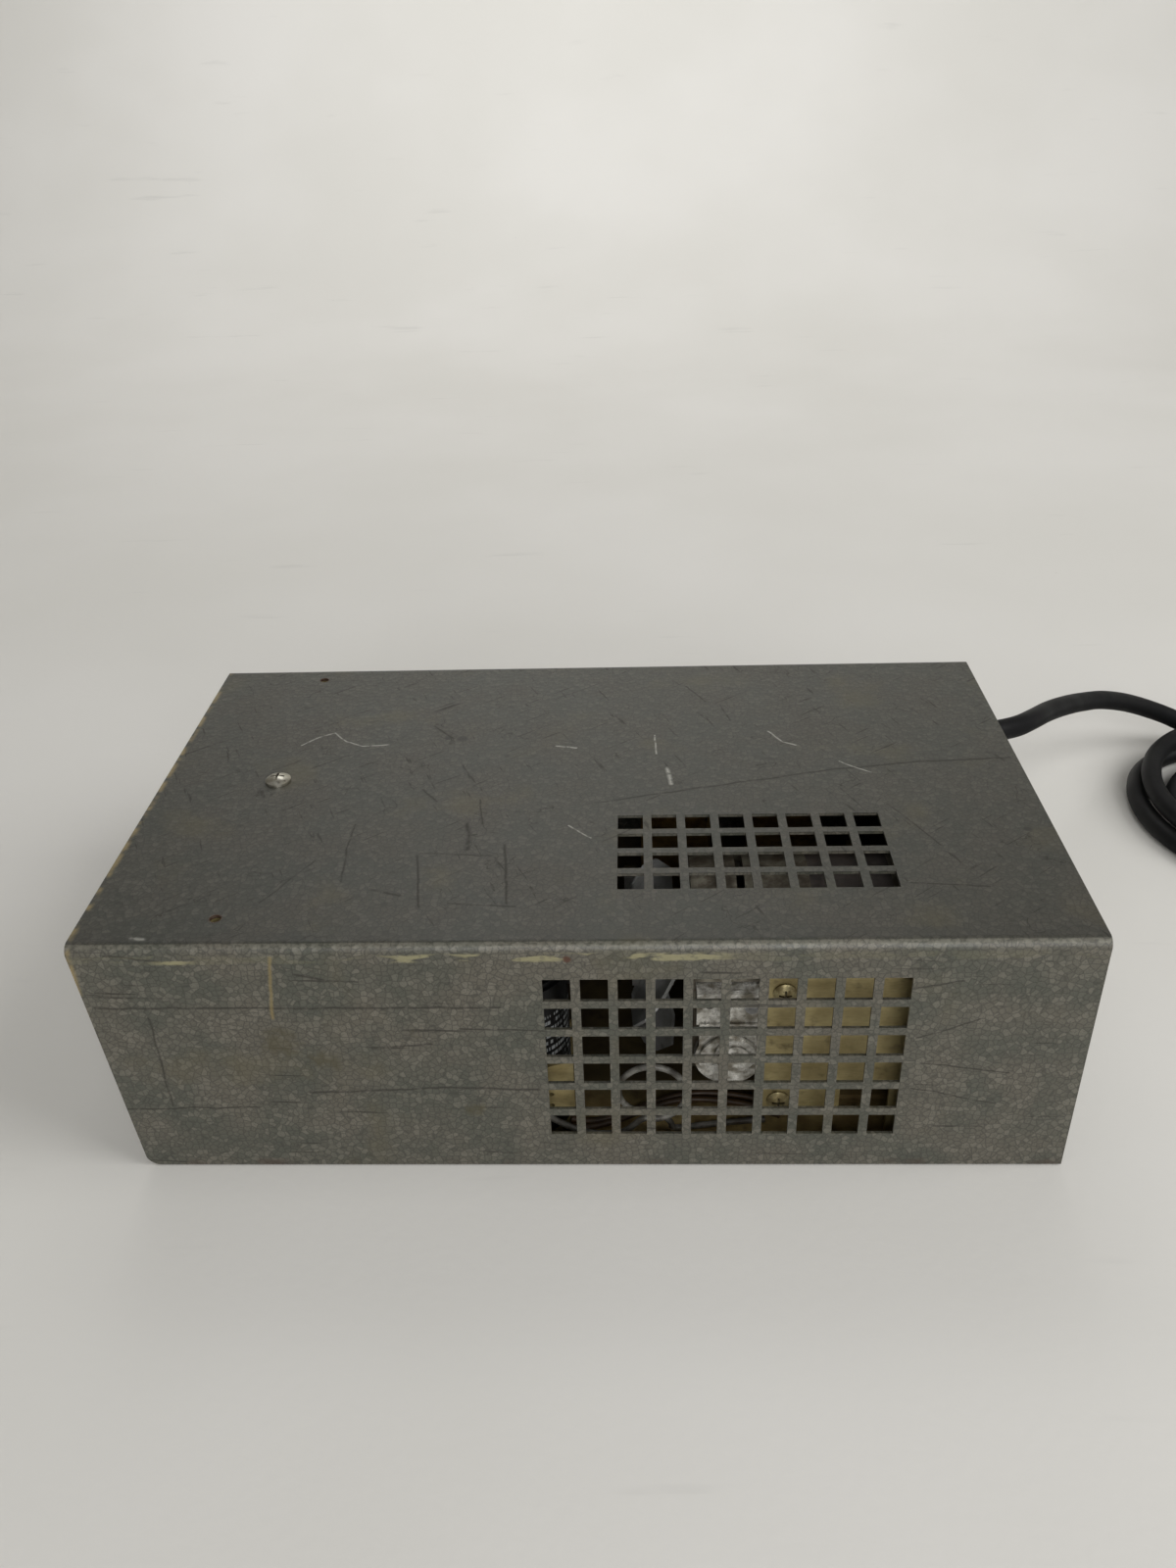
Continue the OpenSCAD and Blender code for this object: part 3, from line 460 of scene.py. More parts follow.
        streaks = g.ramp(g.noise(1.0, 2.0, g.stretched((22.0, 900.0, 420.0), (0, 2, 0))), 0.665, 0.72)
        slants = g.ramp(g.noise(1.0, 2.0, g.stretched((40.0, 620.0, 620.0), (0, 0, 38))), 0.67, 0.72)
        others = g.ramp(g.noise(1.0, 2.0, g.stretched((560.0, 60.0, 560.0), (0, 0, 24))), 0.68, 0.73)
        hairs = g.ramp(g.cells(62.0, "DISTANCE_TO_EDGE", g.vector("ADD", g.here, g.vector(
            "MULTIPLY", g.noise(60.0, 3.0, colour=True), (0.03, 0.03, 0.03)))), 0.0, 0.022, 1.0, 0.0)
        hairs = g.product(hairs, g.ramp(g.noise(70.0, 2.0), 0.56, 0.64), 0.8)
        dark = g.most(g.product(front, self.strokes(g, g.join(u, w), FRONT_DARK)),
                      g.product(top, self.strokes(g, g.join(u, v), TOP_DARK)),
                      g.product(front, streaks, 0.8), g.product(top, slants, 0.75),
                      g.product(top, others, 0.75), g.product(top, hairs))
        dark = g.math("MULTIPLY", dark, g.ramp(g.noise(260.0, 2.0), 0.3, 0.5, 0.35, 1.0), clamp=True)
        colour = g.mix(g.product(dark, 0.85), colour, paint(34, 30, 24))
        pale = g.product(top, self.strokes(g, g.join(u, v), TOP_PALE),
                         g.ramp(g.noise(420.0, 2.0), 0.35, 0.55, 0.2, 1.0))
        colour = g.mix(g.product(pale, 0.75), colour, paint(176, 175, 166))
        yellow = g.product(front, self.strokes(g, g.join(u, w), FRONT_YELLOW))
        colour = g.mix(g.product(yellow, 0.7), colour, paint(128, 112, 70))

        def mark(a, b, spot: Spot):
            """Returns 1 in the middle of a spot and 0 from its radius on."""
            away = g.vector("LENGTH", g.join(g.math("SUBTRACT", a, spot.a), g.math("SUBTRACT", b, spot.b)))
            return g.ramp(away, spot.radius * 0.5, spot.radius, 1.0, 0.0)

        chips = g.product(top, g.most(*[mark(u, v, spot) for spot in CHIPS]))
        blots = g.product(front, g.most(*[mark(u, w, spot) for spot in BLOTS]),
                          g.ramp(g.noise(140.0, 4.0), 0.4, 0.62, 0.05, 0.65))
        colour = g.mix(g.product(chips, 0.85), colour, paint(36, 34, 29))
        colour = g.mix(blots, colour, paint(66, 61, 40))
        holes = g.most(*[mark(x, y, spot) for spot in RUSTED_HOLES], g.product(front, mark(u, w, RUST_FLECK)))
        colour = g.mix(g.product(holes, 0.85), colour, paint(70, 38, 20))

        seam = g.math("SUBTRACT", y, g.math("SUBTRACT", HOOD_H_MM, z))
        torn = g.noise(1.0, 5.0, g.stretched((60.0, 260.0, 260.0)))
        ragged = g.math("ADD", seam, g.math("MULTIPLY", g.math("SUBTRACT", torn, 0.5), 5.0))
        rubbed = g.within(seam, 2.8, 8.0, 1.2)
        colour = g.mix(g.product(rubbed, 0.28), colour, paint(48, 48, 43))
        worn_part = g.most(g.within(x, 108.0, 222.0, 8.0), g.within(x, 30.0, 42.0, 5.0), 0.14)
        primer = g.product(g.within(ragged, -6.8, -3.6, 0.5), worn_part, g.ramp(torn, 0.46, 0.53),
                           g.ramp(g.noise(420.0, 3.0), 0.3, 0.5, 0.4, 0.85))
        colour = g.mix(primer, colour, paint(136, 131, 100))
        bare = g.product(g.within(seam, -0.6, 1.7, 0.7), g.ramp(g.noise(520.0, 3.0), 0.38, 0.6, 0.15, 0.85))
        colour = g.mix(g.product(bare, 0.6), colour, paint(132, 130, 118))
        ends = g.product(g.ramp(x, 0.6, 2.6, 1.0, 0.0), g.ramp(g.noise(140.0, 3.0), 0.4, 0.6), 0.8)
        colour = g.mix(ends, colour, paint(140, 124, 86))
        hem = g.product(g.ramp(z, 2.0, 5.0, 1.0, 0.0), g.ramp(g.noise(45.0, 4.0), 0.5, 0.62), 0.6)
        colour = g.mix(hem, colour, paint(62, 48, 38))

        normal = g.relief(dimples, 0.00022, 0.5)
        rough = g.math("ADD", g.ramp(broad, 0.2, 0.8, 0.36, 0.47), g.math("MULTIPLY", dark, 0.2))
        return g.surface(colour, rough, g.math("ADD", 0.12, g.math("MULTIPLY", bare, 0.3), clamp=True), normal)


class CanPrint:
    """The black can with rows of small grey bars that stand for its printed label."""

    @staticmethod
    def material(centre: Vector) -> bpy.types.Material:
        """Returns the can's material.

        Args:
            centre: a point on the can's axis, in the row frame.
        """
        g = Graph("black_can")
        x, y, z = g.axes(g.vector("SUBTRACT", g.here, tuple(centre)))
        around = g.math("MULTIPLY", g.math("ARCTAN2", y, x), 17.0)
        high = g.math("MULTIPLY", z, 1000.0)
        row = g.math("FLOOR", g.math("DIVIDE", high, 3.1))
        in_row = g.math("LESS_THAN", g.math("FRACT", g.math("DIVIDE", high, 3.1)), 0.52)
        bars = g.noise(1.0, 1.0, g.join(g.math("MULTIPLY", around, 1.5), g.math("MULTIPLY", row, 7.3)))
        label = g.product(g.ramp(bars, 0.47, 0.53), in_row, g.within(high, 28.0, 60.0, 0.5), 0.9)
        colour = g.mix(label, paint(15, 15, 15), paint(150, 153, 152))
        return g.surface(colour, g.ramp(g.noise(120.0, 3.0), 0.3, 0.7, 0.28, 0.42), 0.0,
                         g.relief(g.noise(500.0, 2.0), 0.00004, 0.6))


FINISHES: dict[str, Finish] = {
    "nickel": Finish("nickel", (205, 202, 190), (150, 145, 130), 0.32, 0.85, 6.0, 0.5, 0.02, 0.35, 1.0, 0.9),
    "plated_screw": Finish("plated_screw", (176, 164, 122), (120, 106, 70), 0.42, 0.6, 3.0, 0.5, 0.03, 0.5,
                           1.0, 2.6),
    "zinc": Finish("yellow_zinc", (164, 150, 106), (132, 118, 78), 0.48, 0.4, 12.0, 0.7, 0.03, 0.3, 5.0),
    "pan": Finish("pan_zinc", (184, 162, 108), (128, 106, 66), 0.55, 0.15, 16.0, 0.8, 0.03, 0.35, 3.0,
                  shade_from_mm=24.0),
    "sheet": Finish("grey_sheet", (108, 108, 100), (84, 83, 76), 0.5, 0.15, 26.0, 1.2, 0.04, 0.2),
    "cast": Finish("cast_alloy", (190, 188, 178), (120, 115, 102), 0.42, 0.7, 7.0, 0.9, 0.12, 0.35),
    "cover": Finish("cast_cover", (232, 230, 222), (128, 122, 108), 0.3, 0.6, 4.0, 0.9, 0.12, 0.35, 1.0, 2.2),
    "bell": Finish("bell_alloy", (104, 100, 86), (58, 50, 38), 0.5, 0.5, 7.0, 1.0, 0.14, 0.55),
    "steel": Finish("machined_steel", (178, 178, 178), (130, 128, 124), 0.34, 0.9, 12.0, 0.3, 0.01, 0.2, 3.0),
    "bronze": Finish("bronze", (186, 142, 84), (140, 98, 52), 0.4, 0.85, 8.0, 0.5, 0.03, 0.2),
    "lamination": Finish("laminations", (64, 56, 50), (40, 34, 30), 0.6, 0.3, 10.0, 0.5, 0.08, 0.4),
    "copper": Finish("copper_winding", (170, 92, 46), (110, 54, 26), 0.35, 0.6, 8.0, 0.6, 0.05, 0.2),
    "fan": Finish("fan_metal", (196, 197, 196), (150, 150, 146), 0.38, 0.7, 14.0, 0.5, 0.015, 0.2, 6.0),
    "coil": Finish("taped_coil", (150, 132, 92), (118, 98, 62), 0.7, 0.0, 8.0, 1.4, 0.1, 0.3),
    "relay": Finish("relay_metal", (142, 116, 70), (98, 74, 42), 0.5, 0.5, 7.0, 0.6, 0.05, 0.4),
    "black": Finish("black_plastic", (34, 34, 34), (22, 22, 22), 0.5, 0.0, 12.0, 0.6, 0.03, 0.1),
    "red": Finish("red_plastic", (156, 34, 26), (122, 22, 18), 0.35, 0.0, 5.0, 0.8, 0.02, 0.1),
    "white": Finish("white_insulation", (146, 144, 136), (80, 76, 68), 0.38, 0.0, 6.0, 0.8, 0.02, 0.45),
    "brown": Finish("brown_insulation", (74, 54, 32), (50, 37, 22), 0.5, 0.0, 6.0, 0.8, 0.02, 0.5),
    "rubber": Finish("cord_rubber", (19, 19, 19), (12, 12, 13), 0.55, 0.0, 30.0, 0.7, 0.04, 0.0,
                     gloss=0.16),
    "blade": Finish("blade_brass", (206, 184, 122), (170, 146, 88), 0.3, 0.9, 6.0, 0.4, 0.01, 0.2),
}
NODE_FINISH: dict[str, str] = {
    "hood_screw": "nickel", "hood_bridge": "zinc", "hood_clips": "nickel", "base_pan": "pan",
    "end_plate_left": "sheet", "end_plate_right": "sheet", "chassis_screws": "pan", "rail_saddle": "zinc",
    "gear_case": "cast", "gear_case_lid": "cast", "case_screws": "steel", "worm_bushes": "bronze",
    "output_bushes": "bronze", "worm": "steel", "shaft_coupling": "steel", "worm_wheel": "bronze",
    "wheel_pin": "steel", "output_shaft": "steel", "drive_sprocket": "steel", "sprocket_collar": "steel",
    "motor_bell_left": "bell", "motor_bell_right": "bell", "switch_cover": "cover",
    "switch_cover_screw": "steel", "stator_core": "lamination", "motor_bolts": "steel",
    "shaft_bushes": "bronze", "motor_shaft": "steel", "rotor": "cast", "cooling_fan": "fan",
    "motor_cradle": "pan", "control_plate": "zinc", "plate_screws": "plated_screw", "capacitor_bracket": "zinc",
    "transformer_core": "lamination", "transformer_coil": "coil", "open_relay": "relay",
    "close_relay": "relay", "open_armature": "relay", "close_armature": "relay",
    "overload_breaker": "black", "reset_button": "red", "terminal_strip": "black",
    "terminal_screws": "plated_screw", "plug_blades": "blade", "stator_windings": "copper"}
FOLDED_SHEET = ("hood", "control_plate", "capacitor_bracket", "end_plate_left", "end_plate_right",
                "base_pan", "switch_cover", "rail_saddle")


# ---- Surfaces ----


def grid_mesh(name: str, shape: Callable[[np.ndarray, np.ndarray], np.ndarray], rows: int, columns: int,
              capped: bool = True) -> bpy.types.Object:
    """Builds a surface that closes on itself in its second parameter.

    Args:
        name: the new object's name.
        shape: gives the places, in metres, at arrays of s and t, both from 0 to 1.
        rows: points along s.
        columns: points round t.
        capped: whether both ends are closed with a flat polygon.

    Returns:
        The object, with smooth faces that point outwards.
    """
    s, t = np.meshgrid(np.linspace(0, 1, rows), np.arange(columns) / columns, indexing="ij")
    points = shape(s.ravel(), t.ravel())
    faces = []
    for i in range(rows - 1):
        for j in range(columns):
            a, b = i * columns + j, i * columns + (j + 1) % columns
            faces.append((a, b, b + columns, a + columns))
    if capped:
        faces.append(tuple(range(columns - 1, -1, -1)))
        faces.append(tuple((rows - 1) * columns + j for j in range(columns)))
    mesh = bpy.data.meshes.new(name)
    mesh.from_pydata(points.tolist(), [], faces)
    mesh.validate()
    mesh.shade_smooth()
    made = bpy.data.objects.new(name, mesh)
    bpy.context.scene.collection.objects.link(made)
    centre = points.mean(0)
    inwards = sum((Vector(p.center) - Vector(centre)).dot(p.normal) * p.area for p in mesh.polygons)
    if inwards < 0:
        mesh.flip_normals()
    return made


def soft_edges(piece: bpy.types.Object, width: float, segments: int = 2) -> None:
    """Rounds the sharp edges of a piece without changing its mesh."""
    bevel = piece.modifiers.new("edges", "BEVEL")
    bevel.width, bevel.segments = width, segments
    bevel.limit_method, bevel.angle_limit = "ANGLE", math.radians(35)


@dataclass
class RoundTube:
    """A smooth round tube along bench places.

    Attributes:
        name: piece name.
        route: the places it follows, in bench millimetres.
        diameter: its thickness in metres.
        slot: the record's material slot; not used.
        stands_for: the solids that it is shown in place of.
    """

    name: str
    route: list[Point]
    diameter: float
    slot: str
    stands_for: tuple[str, ...]

    def build(self, material: bpy.types.Material) -> bpy.types.Object:
        """Returns the tube as a curve of one open spline."""
        curve = bpy.data.curves.new(self.name, "CURVE")
        curve.dimensions = "3D"
        curve.bevel_depth, curve.bevel_resolution = self.diameter / 2, 5
        curve.resolution_u, curve.use_fill_caps = 8, True
        spline = curve.splines.new("BEZIER")
        spline.bezier_points.add(len(self.route) - 1)
        spots = [place(*p) for p in self.route]
        for i, (knot, spot) in enumerate(zip(spline.bezier_points, spots)):
            before, after = spots[max(i - 1, 0)], spots[min(i + 1, len(spots) - 1)]
            way = (after - before).normalized()
            knot.co = spot
            knot.handle_left = spot - way * (spot - before).length / 3
            knot.handle_right = spot + way * (after - spot).length / 3
        piece = bpy.data.objects.new(self.name, curve)
        bpy.context.scene.collection.objects.link(piece)
        curve.materials.append(material)
        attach(piece, Body.CHASSIS.value)
        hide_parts(*self.stands_for)
        return piece


@dataclass
class MainsCord:
    """The mains cord: from the strain relief down to the table, three turns, and the end with its plug.

    Attributes:
        diameter: thickness in metres.
        length: its real length without the plug, in metres; not used.
        coil: bench place of the turns' centre.
        outer, inner, upper, last, turn_in: radii of the outer, inner, upper and last turns, and where the
            end starts to turn in, in millimetres.
        clearance: height of the lowest turns' underside over the table, in millimetres.
        high: height of the upper turn's middle, in millimetres.
        turned: how far the cord turns round the coil's middle in all, in degrees.
        start: bench place where it leaves the strain relief.
    """

    diameter: float = 0.010
    length: float = 1.61
    coil: tuple[float, float] = (533.0, 230.0)
    outer: float = 77.0
    inner: float = 65.5
    upper: float = 71.3
    last: float = 54.8
    turn_in: float = 60.0
    clearance: float = 0.4
    high: float = 14.4
    turned: int = 1200
    start: tuple[float, float, float] = (348.0, 192.4, 74.0)

    def fall(self) -> list[Point]:
        """Returns the route from the strain relief to the first turn, in bench millimetres."""
        return [self.start, (355, 193.4, 74), (362, 195, 74), (373, 201, 73), (383, 211, 71), (395, 226, 67),
                (409, 243, 61), (425, 262, 53), (444, 281, 44), (466, 297, 33), (490, 306, 21), (512, 308, 10)]

    def turn(self, t: float) -> Point:
        """Returns the place after t degrees of turning, clockwise from the back of the coil."""
        low, high = self.diameter * 500 + self.clearance, self.high
        radius, z = self.outer, low
        radius += (self.inner - self.outer) * smooth_step((t - 290) / 70)
        radius += (self.upper - self.inner) * smooth_step((t - 540) / 70)
        z += (high - low) * smooth_step((t - 540) / 70)
        z += 1.3 * smooth_step((t - 630) / 20) * smooth_step((740 - t) / 20)
        radius += (self.last - self.upper) * smooth_step((t - 766) / 84)
        z -= (high - low) * smooth_step((t - 806) / 54)
        radius += (self.turn_in - self.last) * smooth_step((t - 915) / 75)
        if t > 990:
            radius = self.turn_in - 26.0 * (t - 990) / (self.turned - 990)
        angle = math.radians(90 - t)
        return (self.coil[0] + radius * math.cos(angle), self.coil[1] + radius * math.sin(angle), z)

    def build(self, material: bpy.types.Material, plug: bpy.types.Object) -> bpy.types.Object:
        """Returns the cord.

        Args:
            material: its rubber.
            plug: the moulded plug on its end; not used.
        """
        route = self.fall() + [self.turn(t) for t in range(0, self.turned + 1, 20)]
        tube = RoundTube("mains_cord", route, self.diameter, "cord_rubber",
                         ("power_cord", "cord_coil", "cord_tail"))
        piece = tube.build(material)
        return piece


@dataclass
class MouldedPlug:
    """The plug's body: a round neck that swells into a flat grip with finger ridges.

    Attributes:
        cord: the cord that it is moulded on.
        length_mm, width_mm, height_mm: size of the body.
        ridge_mm: distance between the grooves across the grip.
    """

    cord: MainsCord
    length_mm: float = 34.0
    width_mm: float = 26.0
    height_mm: float = 15.0
    ridge_mm: float = 3.0

    def build(self, material: bpy.types.Material) -> bpy.types.Object:
        """Returns the plug.

        A cross-section at s is a superellipse whose half-width grows from the neck's radius to half the
        body's width, whose exponent grows from 2 to 5, and which is grooved by a cosine along the grip.
        """
        end, before = (np.array(self.cord.turn(self.cord.turned - back)) for back in (0, 5))
        way = (end - before) / np.linalg.norm(end - before)
        side = np.array([-way[1], way[0], 0.0])
        low = end[2]

        def shape(s: np.ndarray, t: np.ndarray) -> np.ndarray:
            along = s * self.length_mm
            grow = np.clip((along - 9) / 9, 0, 1)
            grow = grow * grow * (3 - 2 * grow)
            shut = np.sqrt(np.clip(1 - np.clip((along - self.length_mm + 1.4) / 1.5, 0, 1) ** 2, 0.02, 1))
            grip = np.clip((along - 16) / 2, 0, 1) * np.clip((29 - along) / 2, 0, 1)
            wave = 1 - 0.05 * grip * (0.5 - 0.5 * np.cos(2 * np.pi * (along - 16) / self.ridge_mm))
            half_w = (5.2 + (self.width_mm / 2 - 5.2) * grow) * wave * (0.8 + 0.2 * shut)
            half_h = (4.9 + (self.height_mm / 2 - 4.9) * grow) * (0.8 + 0.2 * shut)
            middle = (half_h - 5.0) * 0.99
            power = 2 / (2 + 3 * grow)
            c, d = np.cos(2 * np.pi * t), np.sin(2 * np.pi * t)
            across = half_w * np.sign(c) * np.abs(c) ** power
            up = half_h * np.sign(d) * np.abs(d) ** power + middle
            points = end + np.outer(along, way) + np.outer(across, side)
            points[:, 2] = np.maximum(low + up, 0.05)
            return (points - [HOOD_W_MM / 2, HOOD_D_MM / 2, 0]) / 1000

        piece = grid_mesh("moulded_plug", shape, 90, 64)
        piece.data.materials.append(material)
        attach(piece, Body.CHASSIS.value)
        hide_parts("plug")
        return piece


@dataclass
class StrainRelief:
    """The ribbed bush that holds the cord in the right end plate.

    Attributes:
        start: bench x of its inner end.
        y, z: bench place of its axis.
    """

    start: float = 320.5
    y: float = 193.0
    z: float = 74.0

    def build(self, material: bpy.types.Material) -> bpy.types.Object:
        """Returns the bush, a surface of revolution: neck, flange, and a tapered sleeve with rounded ribs."""
        stations = np.array([0, 0.001, 15.9, 16.0, 17.0, 17.0, 17.4, 20.0, 20.5, 21.0, 31.0, 31.5])
        radii = np.array([0.5, 9.4, 9.4, 7.8, 7.8, 10.0, 10.4, 10.4, 10.0, 8.0, 6.3, 5.3])
        keys = np.linspace(0, 1, len(stations))

        def shape(s: np.ndarray, t: np.ndarray) -> np.ndarray:
            along = np.interp(s, keys, stations)
            radius = np.interp(s, keys, radii)
            ribbed = (along > 21.2) & (along < 31.0)
            radius = radius + np.where(ribbed, 0.55 * np.sin((along - 21.2) * 2 * np.pi / 3.2), 0.0)
            a = 2 * np.pi * t
            points = np.stack([self.start + along, self.y + radius * np.cos(a), self.z + radius * np.sin(a)], 1)
            return (points - [HOOD_W_MM / 2, HOOD_D_MM / 2, 0]) / 1000

        piece = grid_mesh("cord_bush", shape, 12 * 11 + 1, 48)
        piece.data.materials.append(material)
        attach(piece, Body.CHASSIS.value)
        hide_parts("strain_relief")
        return piece


@dataclass
class EndTurns:
    """The windings' two end bundles, whose wires show as ridges round the ring.

    Attributes:
        mid_radius, half_depth, half_width: the bundle's section in millimetres.
        wires: how many ridges run round the section.
    """

    mid_radius: float = 28.9
    half_depth: float = 4.7
    half_width: float = 5.3
    wires: int = 26
    middles: tuple[float, float] = (250.5, 291.5)
    axis: tuple[float, float] = (60.0, 50.0)

    def build(self, material: bpy.types.Material) -> list[bpy.types.Object]:
        """Returns both bundles: rings whose round section carries a twisted cosine ridge for each wire."""
        made = []
        for k, middle in enumerate(self.middles):

            def shape(s: np.ndarray, t: np.ndarray) -> np.ndarray:
                around, section = 2 * np.pi * s, 2 * np.pi * t
                ridge = 1 + 0.035 * np.cos(self.wires * section + 3 * around)
                lobes = 1 + 0.05 * np.cos(12 * around)
                radius = self.mid_radius + self.half_depth * ridge * lobes * np.cos(section) * 0.94
                x = middle + self.half_width * ridge * lobes * np.sin(section) * 0.94
                points = np.stack([x, self.axis[0] + radius * np.cos(around),
                                   self.axis[1] + radius * np.sin(around)], 1)
                return (points - [HOOD_W_MM / 2, HOOD_D_MM / 2, 0]) / 1000

            piece = grid_mesh(f"end_turns_{k + 1}", shape, 145, 104, capped=False)
            piece.data.materials.append(material)
            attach(piece, Body.CHASSIS.value)
            made.append(piece)
        return made


@dataclass
class InnerLeads:
    """The white lead with its standing loop, and the brown pair along the pan."""

    loop_radius: float = 12.5
    loop_at: tuple[float, float, float] = (197.0, 12.0, 25.0)

    def white_route(self) -> list[Point]:
        """Returns the white lead's places: in, once round the loop, and on along the pan."""
        start = [(158, 12.1, 13), (163, 12.4, 9), (168, 12.4, 6), (176, 12, 4), (186, 11, 6)]
        loop = []
        for k in range(16):
            a = math.radians(-105 + 24 * k)
            loop.append((self.loop_at[0] + self.loop_radius * math.cos(a), self.loop_at[1] - 1 + k * 2.8 / 15,
                         self.loop_at[2] + self.loop_radius * math.sin(a)))
        end = [(201, 13.9, 11.2), (204, 14, 7.6), (204.6, 14.6, 4.6), (208, 16, 2.9), (222, 18, 2.9), (240, 20, 2.9)]
        return start + loop + end

    def brown_route(self, dx: float, dy: float) -> list[Point]:
        """Returns the places of one brown lead, moved by dx and dy."""
        spots = [(163, 14.5, 5.4), (172, 16, 2.9), (184, 20, 2.9), (196, 26, 2.9), (208, 30, 2.9),
                 (222, 30, 2.9), (236, 27, 2.9), (246, 22, 2.9)]
        return [(x + dx, y + dy, z) for x, y, z in spots]

    def build(self, white: bpy.types.Material, brown: bpy.types.Material) -> None:
        """Builds the three leads."""
        RoundTube("white_lead_loop", self.white_route(), 0.0024, "white_insulation", ("white_lead",)).build(white)
        for k, (dx, dy) in enumerate(((0.0, 0.0), (3.0, 3.4))):
            RoundTube(f"brown_lead_{k + 1}", self.brown_route(dx, dy), 0.0026, "brown_insulation",
                      ("brown_leads",)).build(brown)


@dataclass(frozen=True)
class Lamp:
    """A square soft light.

    Attributes:
        name: the light's name.
        spot, aim: where it stands and what it faces.
        size: length of its side.
        power: its power in watts.
        spread: the angle that it shines within, in degrees.
    """

    name: str
    spot: tuple[float, float, float]
    aim: tuple[float, float, float]
    size: float
    power: float
    spread: float = 180.0

    def build(self) -> None:
        """Adds the light to the scene."""
        lamp = bpy.data.lights.new(self.name, "AREA")
        lamp.shape, lamp.size, lamp.energy, lamp.spread = "SQUARE", self.size, self.power, math.radians(self.spread)
        made = bpy.data.objects.new(self.name, lamp)
        made.location = self.spot
        made.rotation_mode = "QUATERNION"
        made.rotation_quaternion = (Vector(self.aim) - Vector(self.spot)).to_track_quat("-Z", "Y")
        bpy.context.scene.collection.objects.link(made)


LAMPS = (Lamp("key", (1.8, -0.5, 1.6), (0.0, 0.0, 0.05), 1.4, 27.0),
         Lamp("front", (0.3, -2.0, 0.9), (0.0, 0.0, 0.05), 1.4, 30.0),
         Lamp("sweep", (-0.2, 1.3, 1.8), (0.0, 1.9, 0.4), 1.2, 10.5, 150.0))


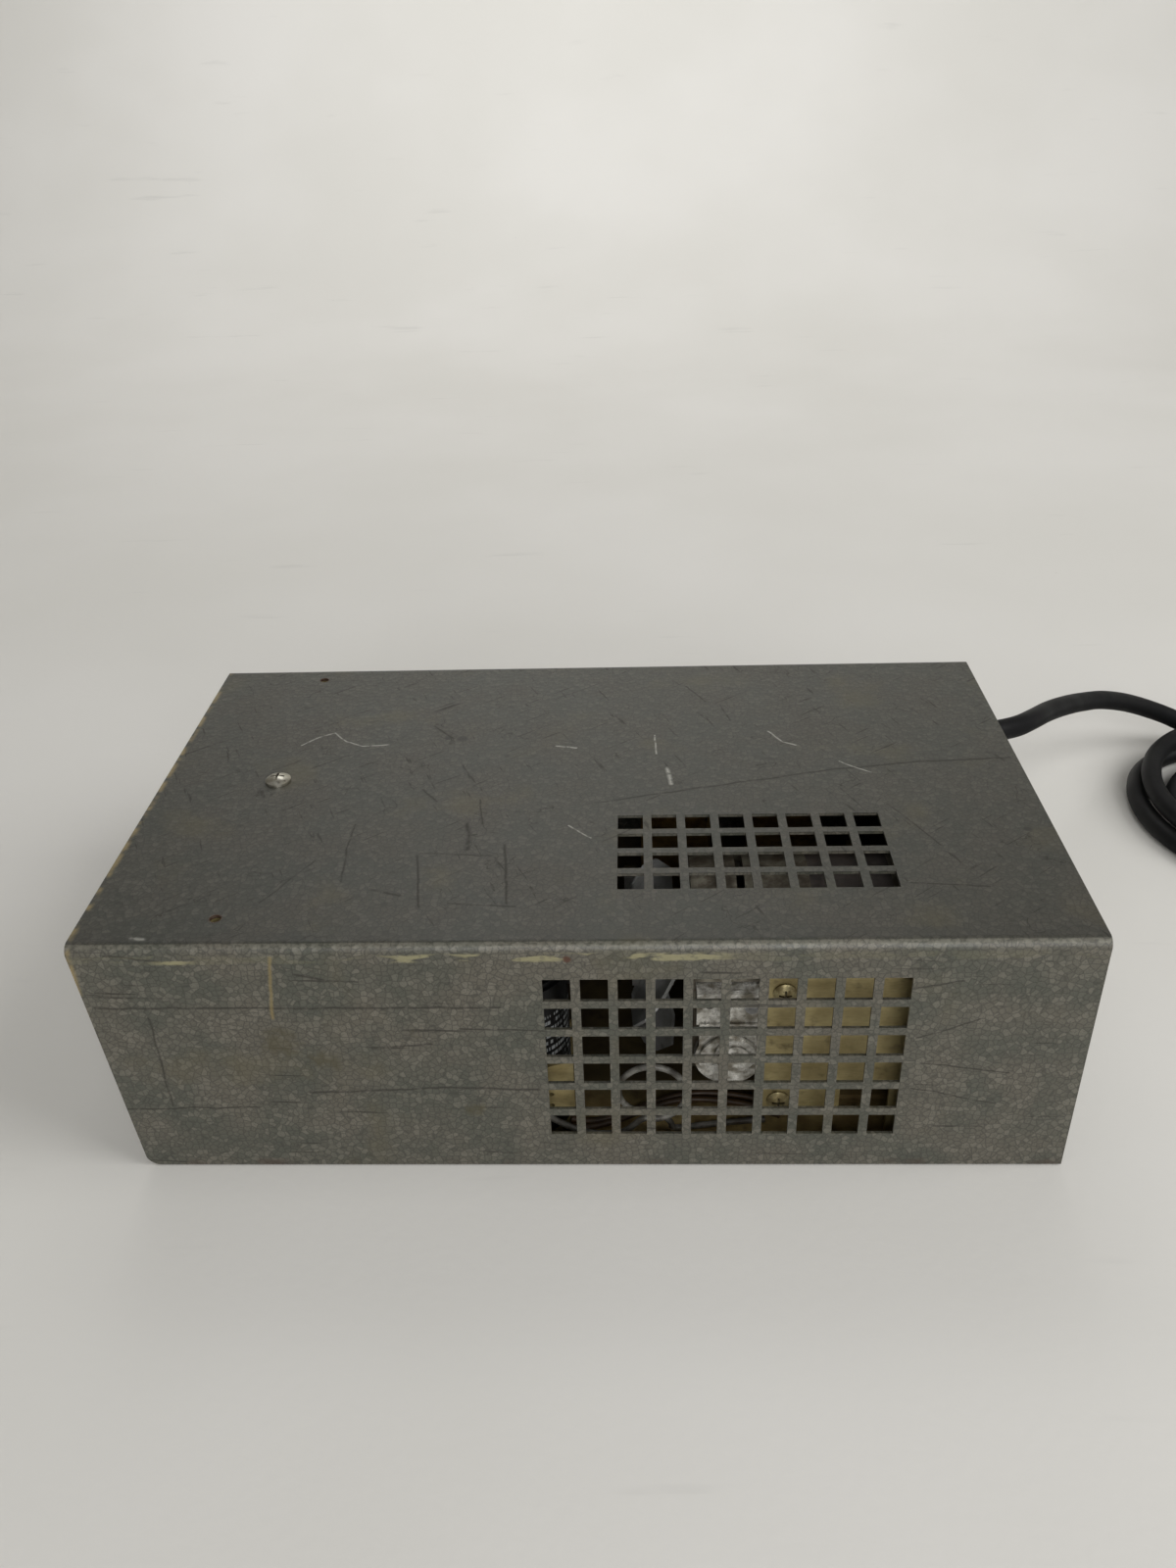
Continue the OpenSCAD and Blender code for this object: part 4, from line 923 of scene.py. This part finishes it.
@dataclass
class Studio:
    """The pale table that sweeps up behind the part, the soft lights and the camera.

    Attributes:
        sweep_radius: radius of the curve between the floor and the wall.
        half_width: half the table's width.
        sky, sky_strength: colour and strength of the light from all round.
        eye: the camera's place.
        angles: the camera's pitch, yaw and roll in degrees.
        lens: its focal length in millimetres on a 36 mm side.
    """

    sweep_radius: float = 0.9
    half_width: float = 3.5
    sky: tuple[float, float, float, float] = (1.0, 0.99, 0.97, 1.0)
    sky_strength: float = 0.21
    eye: tuple[float, float, float] = (0.0190, -0.4271, 0.36295)
    angles: tuple[float, float, float] = (31.344, 2.564, -2.033)
    lens: float = 28.64

    def table(self) -> bpy.types.Object:
        """Returns the table: a floor, a quarter circle and a wall, extruded along X."""
        turn = np.radians(np.linspace(0, 90, 24))
        y = np.concatenate([[-3.0, -1.0, 0.0, 0.8], 1.1 + self.sweep_radius * np.sin(turn), [2.0, 2.0]])
        z = np.concatenate([[0.0, 0.0, 0.0, 0.0], self.sweep_radius * (1 - np.cos(turn)), [2.0, 4.0]])
        x = np.linspace(-self.half_width, self.half_width, 8)
        points = [(a, b, c) for a in x for b, c in zip(y, z)]
        n = len(y)
        faces = [(i * n + j, (i + 1) * n + j, (i + 1) * n + j + 1, i * n + j + 1)
                 for i in range(len(x) - 1) for j in range(n - 1)]
        mesh = bpy.data.meshes.new("table")
        mesh.from_pydata(points, [], faces)
        mesh.shade_smooth()
        made = bpy.data.objects.new("table", mesh)
        bpy.context.scene.collection.objects.link(made)
        g = Graph("table_paper")
        broad = g.noise(3.0, 3.0)
        colour = g.mix(g.ramp(broad, 0.3, 0.7), paint(215, 213, 207), paint(221, 219, 214))
        specks = g.product(g.ramp(g.cells(34.0), 0.0, 0.035, 1.0, 0.0), g.ramp(g.noise(9.0, 2.0), 0.55, 0.66))
        smears = g.ramp(g.noise(1.0, 3.0, g.stretched((9.0, 60.0, 9.0))), 0.66, 0.8, 0.0, 0.22)
        colour = g.mix(g.product(specks, 0.5), colour, paint(120, 118, 112))
        colour = g.mix(smears, colour, paint(170, 169, 165))
        made.data.materials.append(g.surface(colour, 0.6, 0.0, g.relief(g.noise(220.0, 3.0), 0.0003, 0.25)))
        return made

    def camera(self) -> bpy.types.Object:
        """Returns the camera, which looks down and a little to the left with a slight roll."""
        pitch, yaw, roll = (math.radians(a) for a in self.angles)
        ahead = Vector((-math.sin(yaw) * math.cos(pitch), math.cos(yaw) * math.cos(pitch), -math.sin(pitch)))
        right = Vector((math.cos(yaw), math.sin(yaw), 0.0))
        down = Vector((math.sin(yaw) * math.sin(pitch), -math.cos(yaw) * math.sin(pitch), -math.cos(pitch)))
        across = math.cos(roll) * right - math.sin(roll) * down
        below = math.sin(roll) * right + math.cos(roll) * down
        lens = bpy.data.cameras.new("camera")
        lens.lens, lens.sensor_width, lens.sensor_fit = self.lens, 36.0, "AUTO"
        lens.clip_start, lens.clip_end = 0.01, 50.0
        lens.dof.use_dof = False
        made = bpy.data.objects.new("camera", lens)
        turn = Matrix((across, -below, -ahead)).transposed().to_4x4()
        made.matrix_world = Matrix.Translation(self.eye) @ turn
        bpy.context.scene.collection.objects.link(made)
        bpy.context.scene.camera = made
        return made

    def build(self) -> None:
        """Sets the stage."""
        self.table()
        for lamp in LAMPS:
            lamp.build()
        world = bpy.data.worlds.new("room")
        world.use_nodes = True
        background = world.node_tree.nodes["Background"]
        background.inputs[0].default_value = self.sky
        background.inputs[1].default_value = self.sky_strength
        bpy.context.scene.world = world
        bpy.context.scene.view_settings.view_transform = "Standard"
        self.camera()


class Solids:
    """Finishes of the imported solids."""

    def build(self, materials: dict[str, bpy.types.Material]) -> None:
        """Gives every shown solid its material and softens the folded ones' edges."""
        can = (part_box("capacitor")[0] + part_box("capacitor")[1]) / 2
        can.z = 0.0
        special = {"hood": HammerPaint().material(), "capacitor": CanPrint.material(can)}
        for name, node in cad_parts.items():
            material = special.get(name) or materials.get(NODE_FINISH.get(name, "rubber"))
            node.data.materials.clear()
            node.data.materials.append(material)
            if name in FOLDED_SHEET:
                soft_edges(node, 0.0002, 2)
            LOG.info("%s: %s", name, material.name)


def main() -> None:
    """Builds the whole scene in order."""
    logging.basicConfig(level=logging.INFO, format="%(message)s")
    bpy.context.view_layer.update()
    Studio().build()
    materials = {key: finish.material() for key, finish in FINISHES.items()}
    Solids().build(materials)
    cord = MainsCord()
    plug = MouldedPlug(cord).build(materials["rubber"])
    for piece in (StrainRelief().build(materials["black"]), plug, cord.build(materials["rubber"], plug),
                  *EndTurns().build(materials["copper"])):
        LOG.info("built %s", piece.name)
    InnerLeads().build(materials["white"], materials["brown"])


if __name__ == "__main__":
    main()
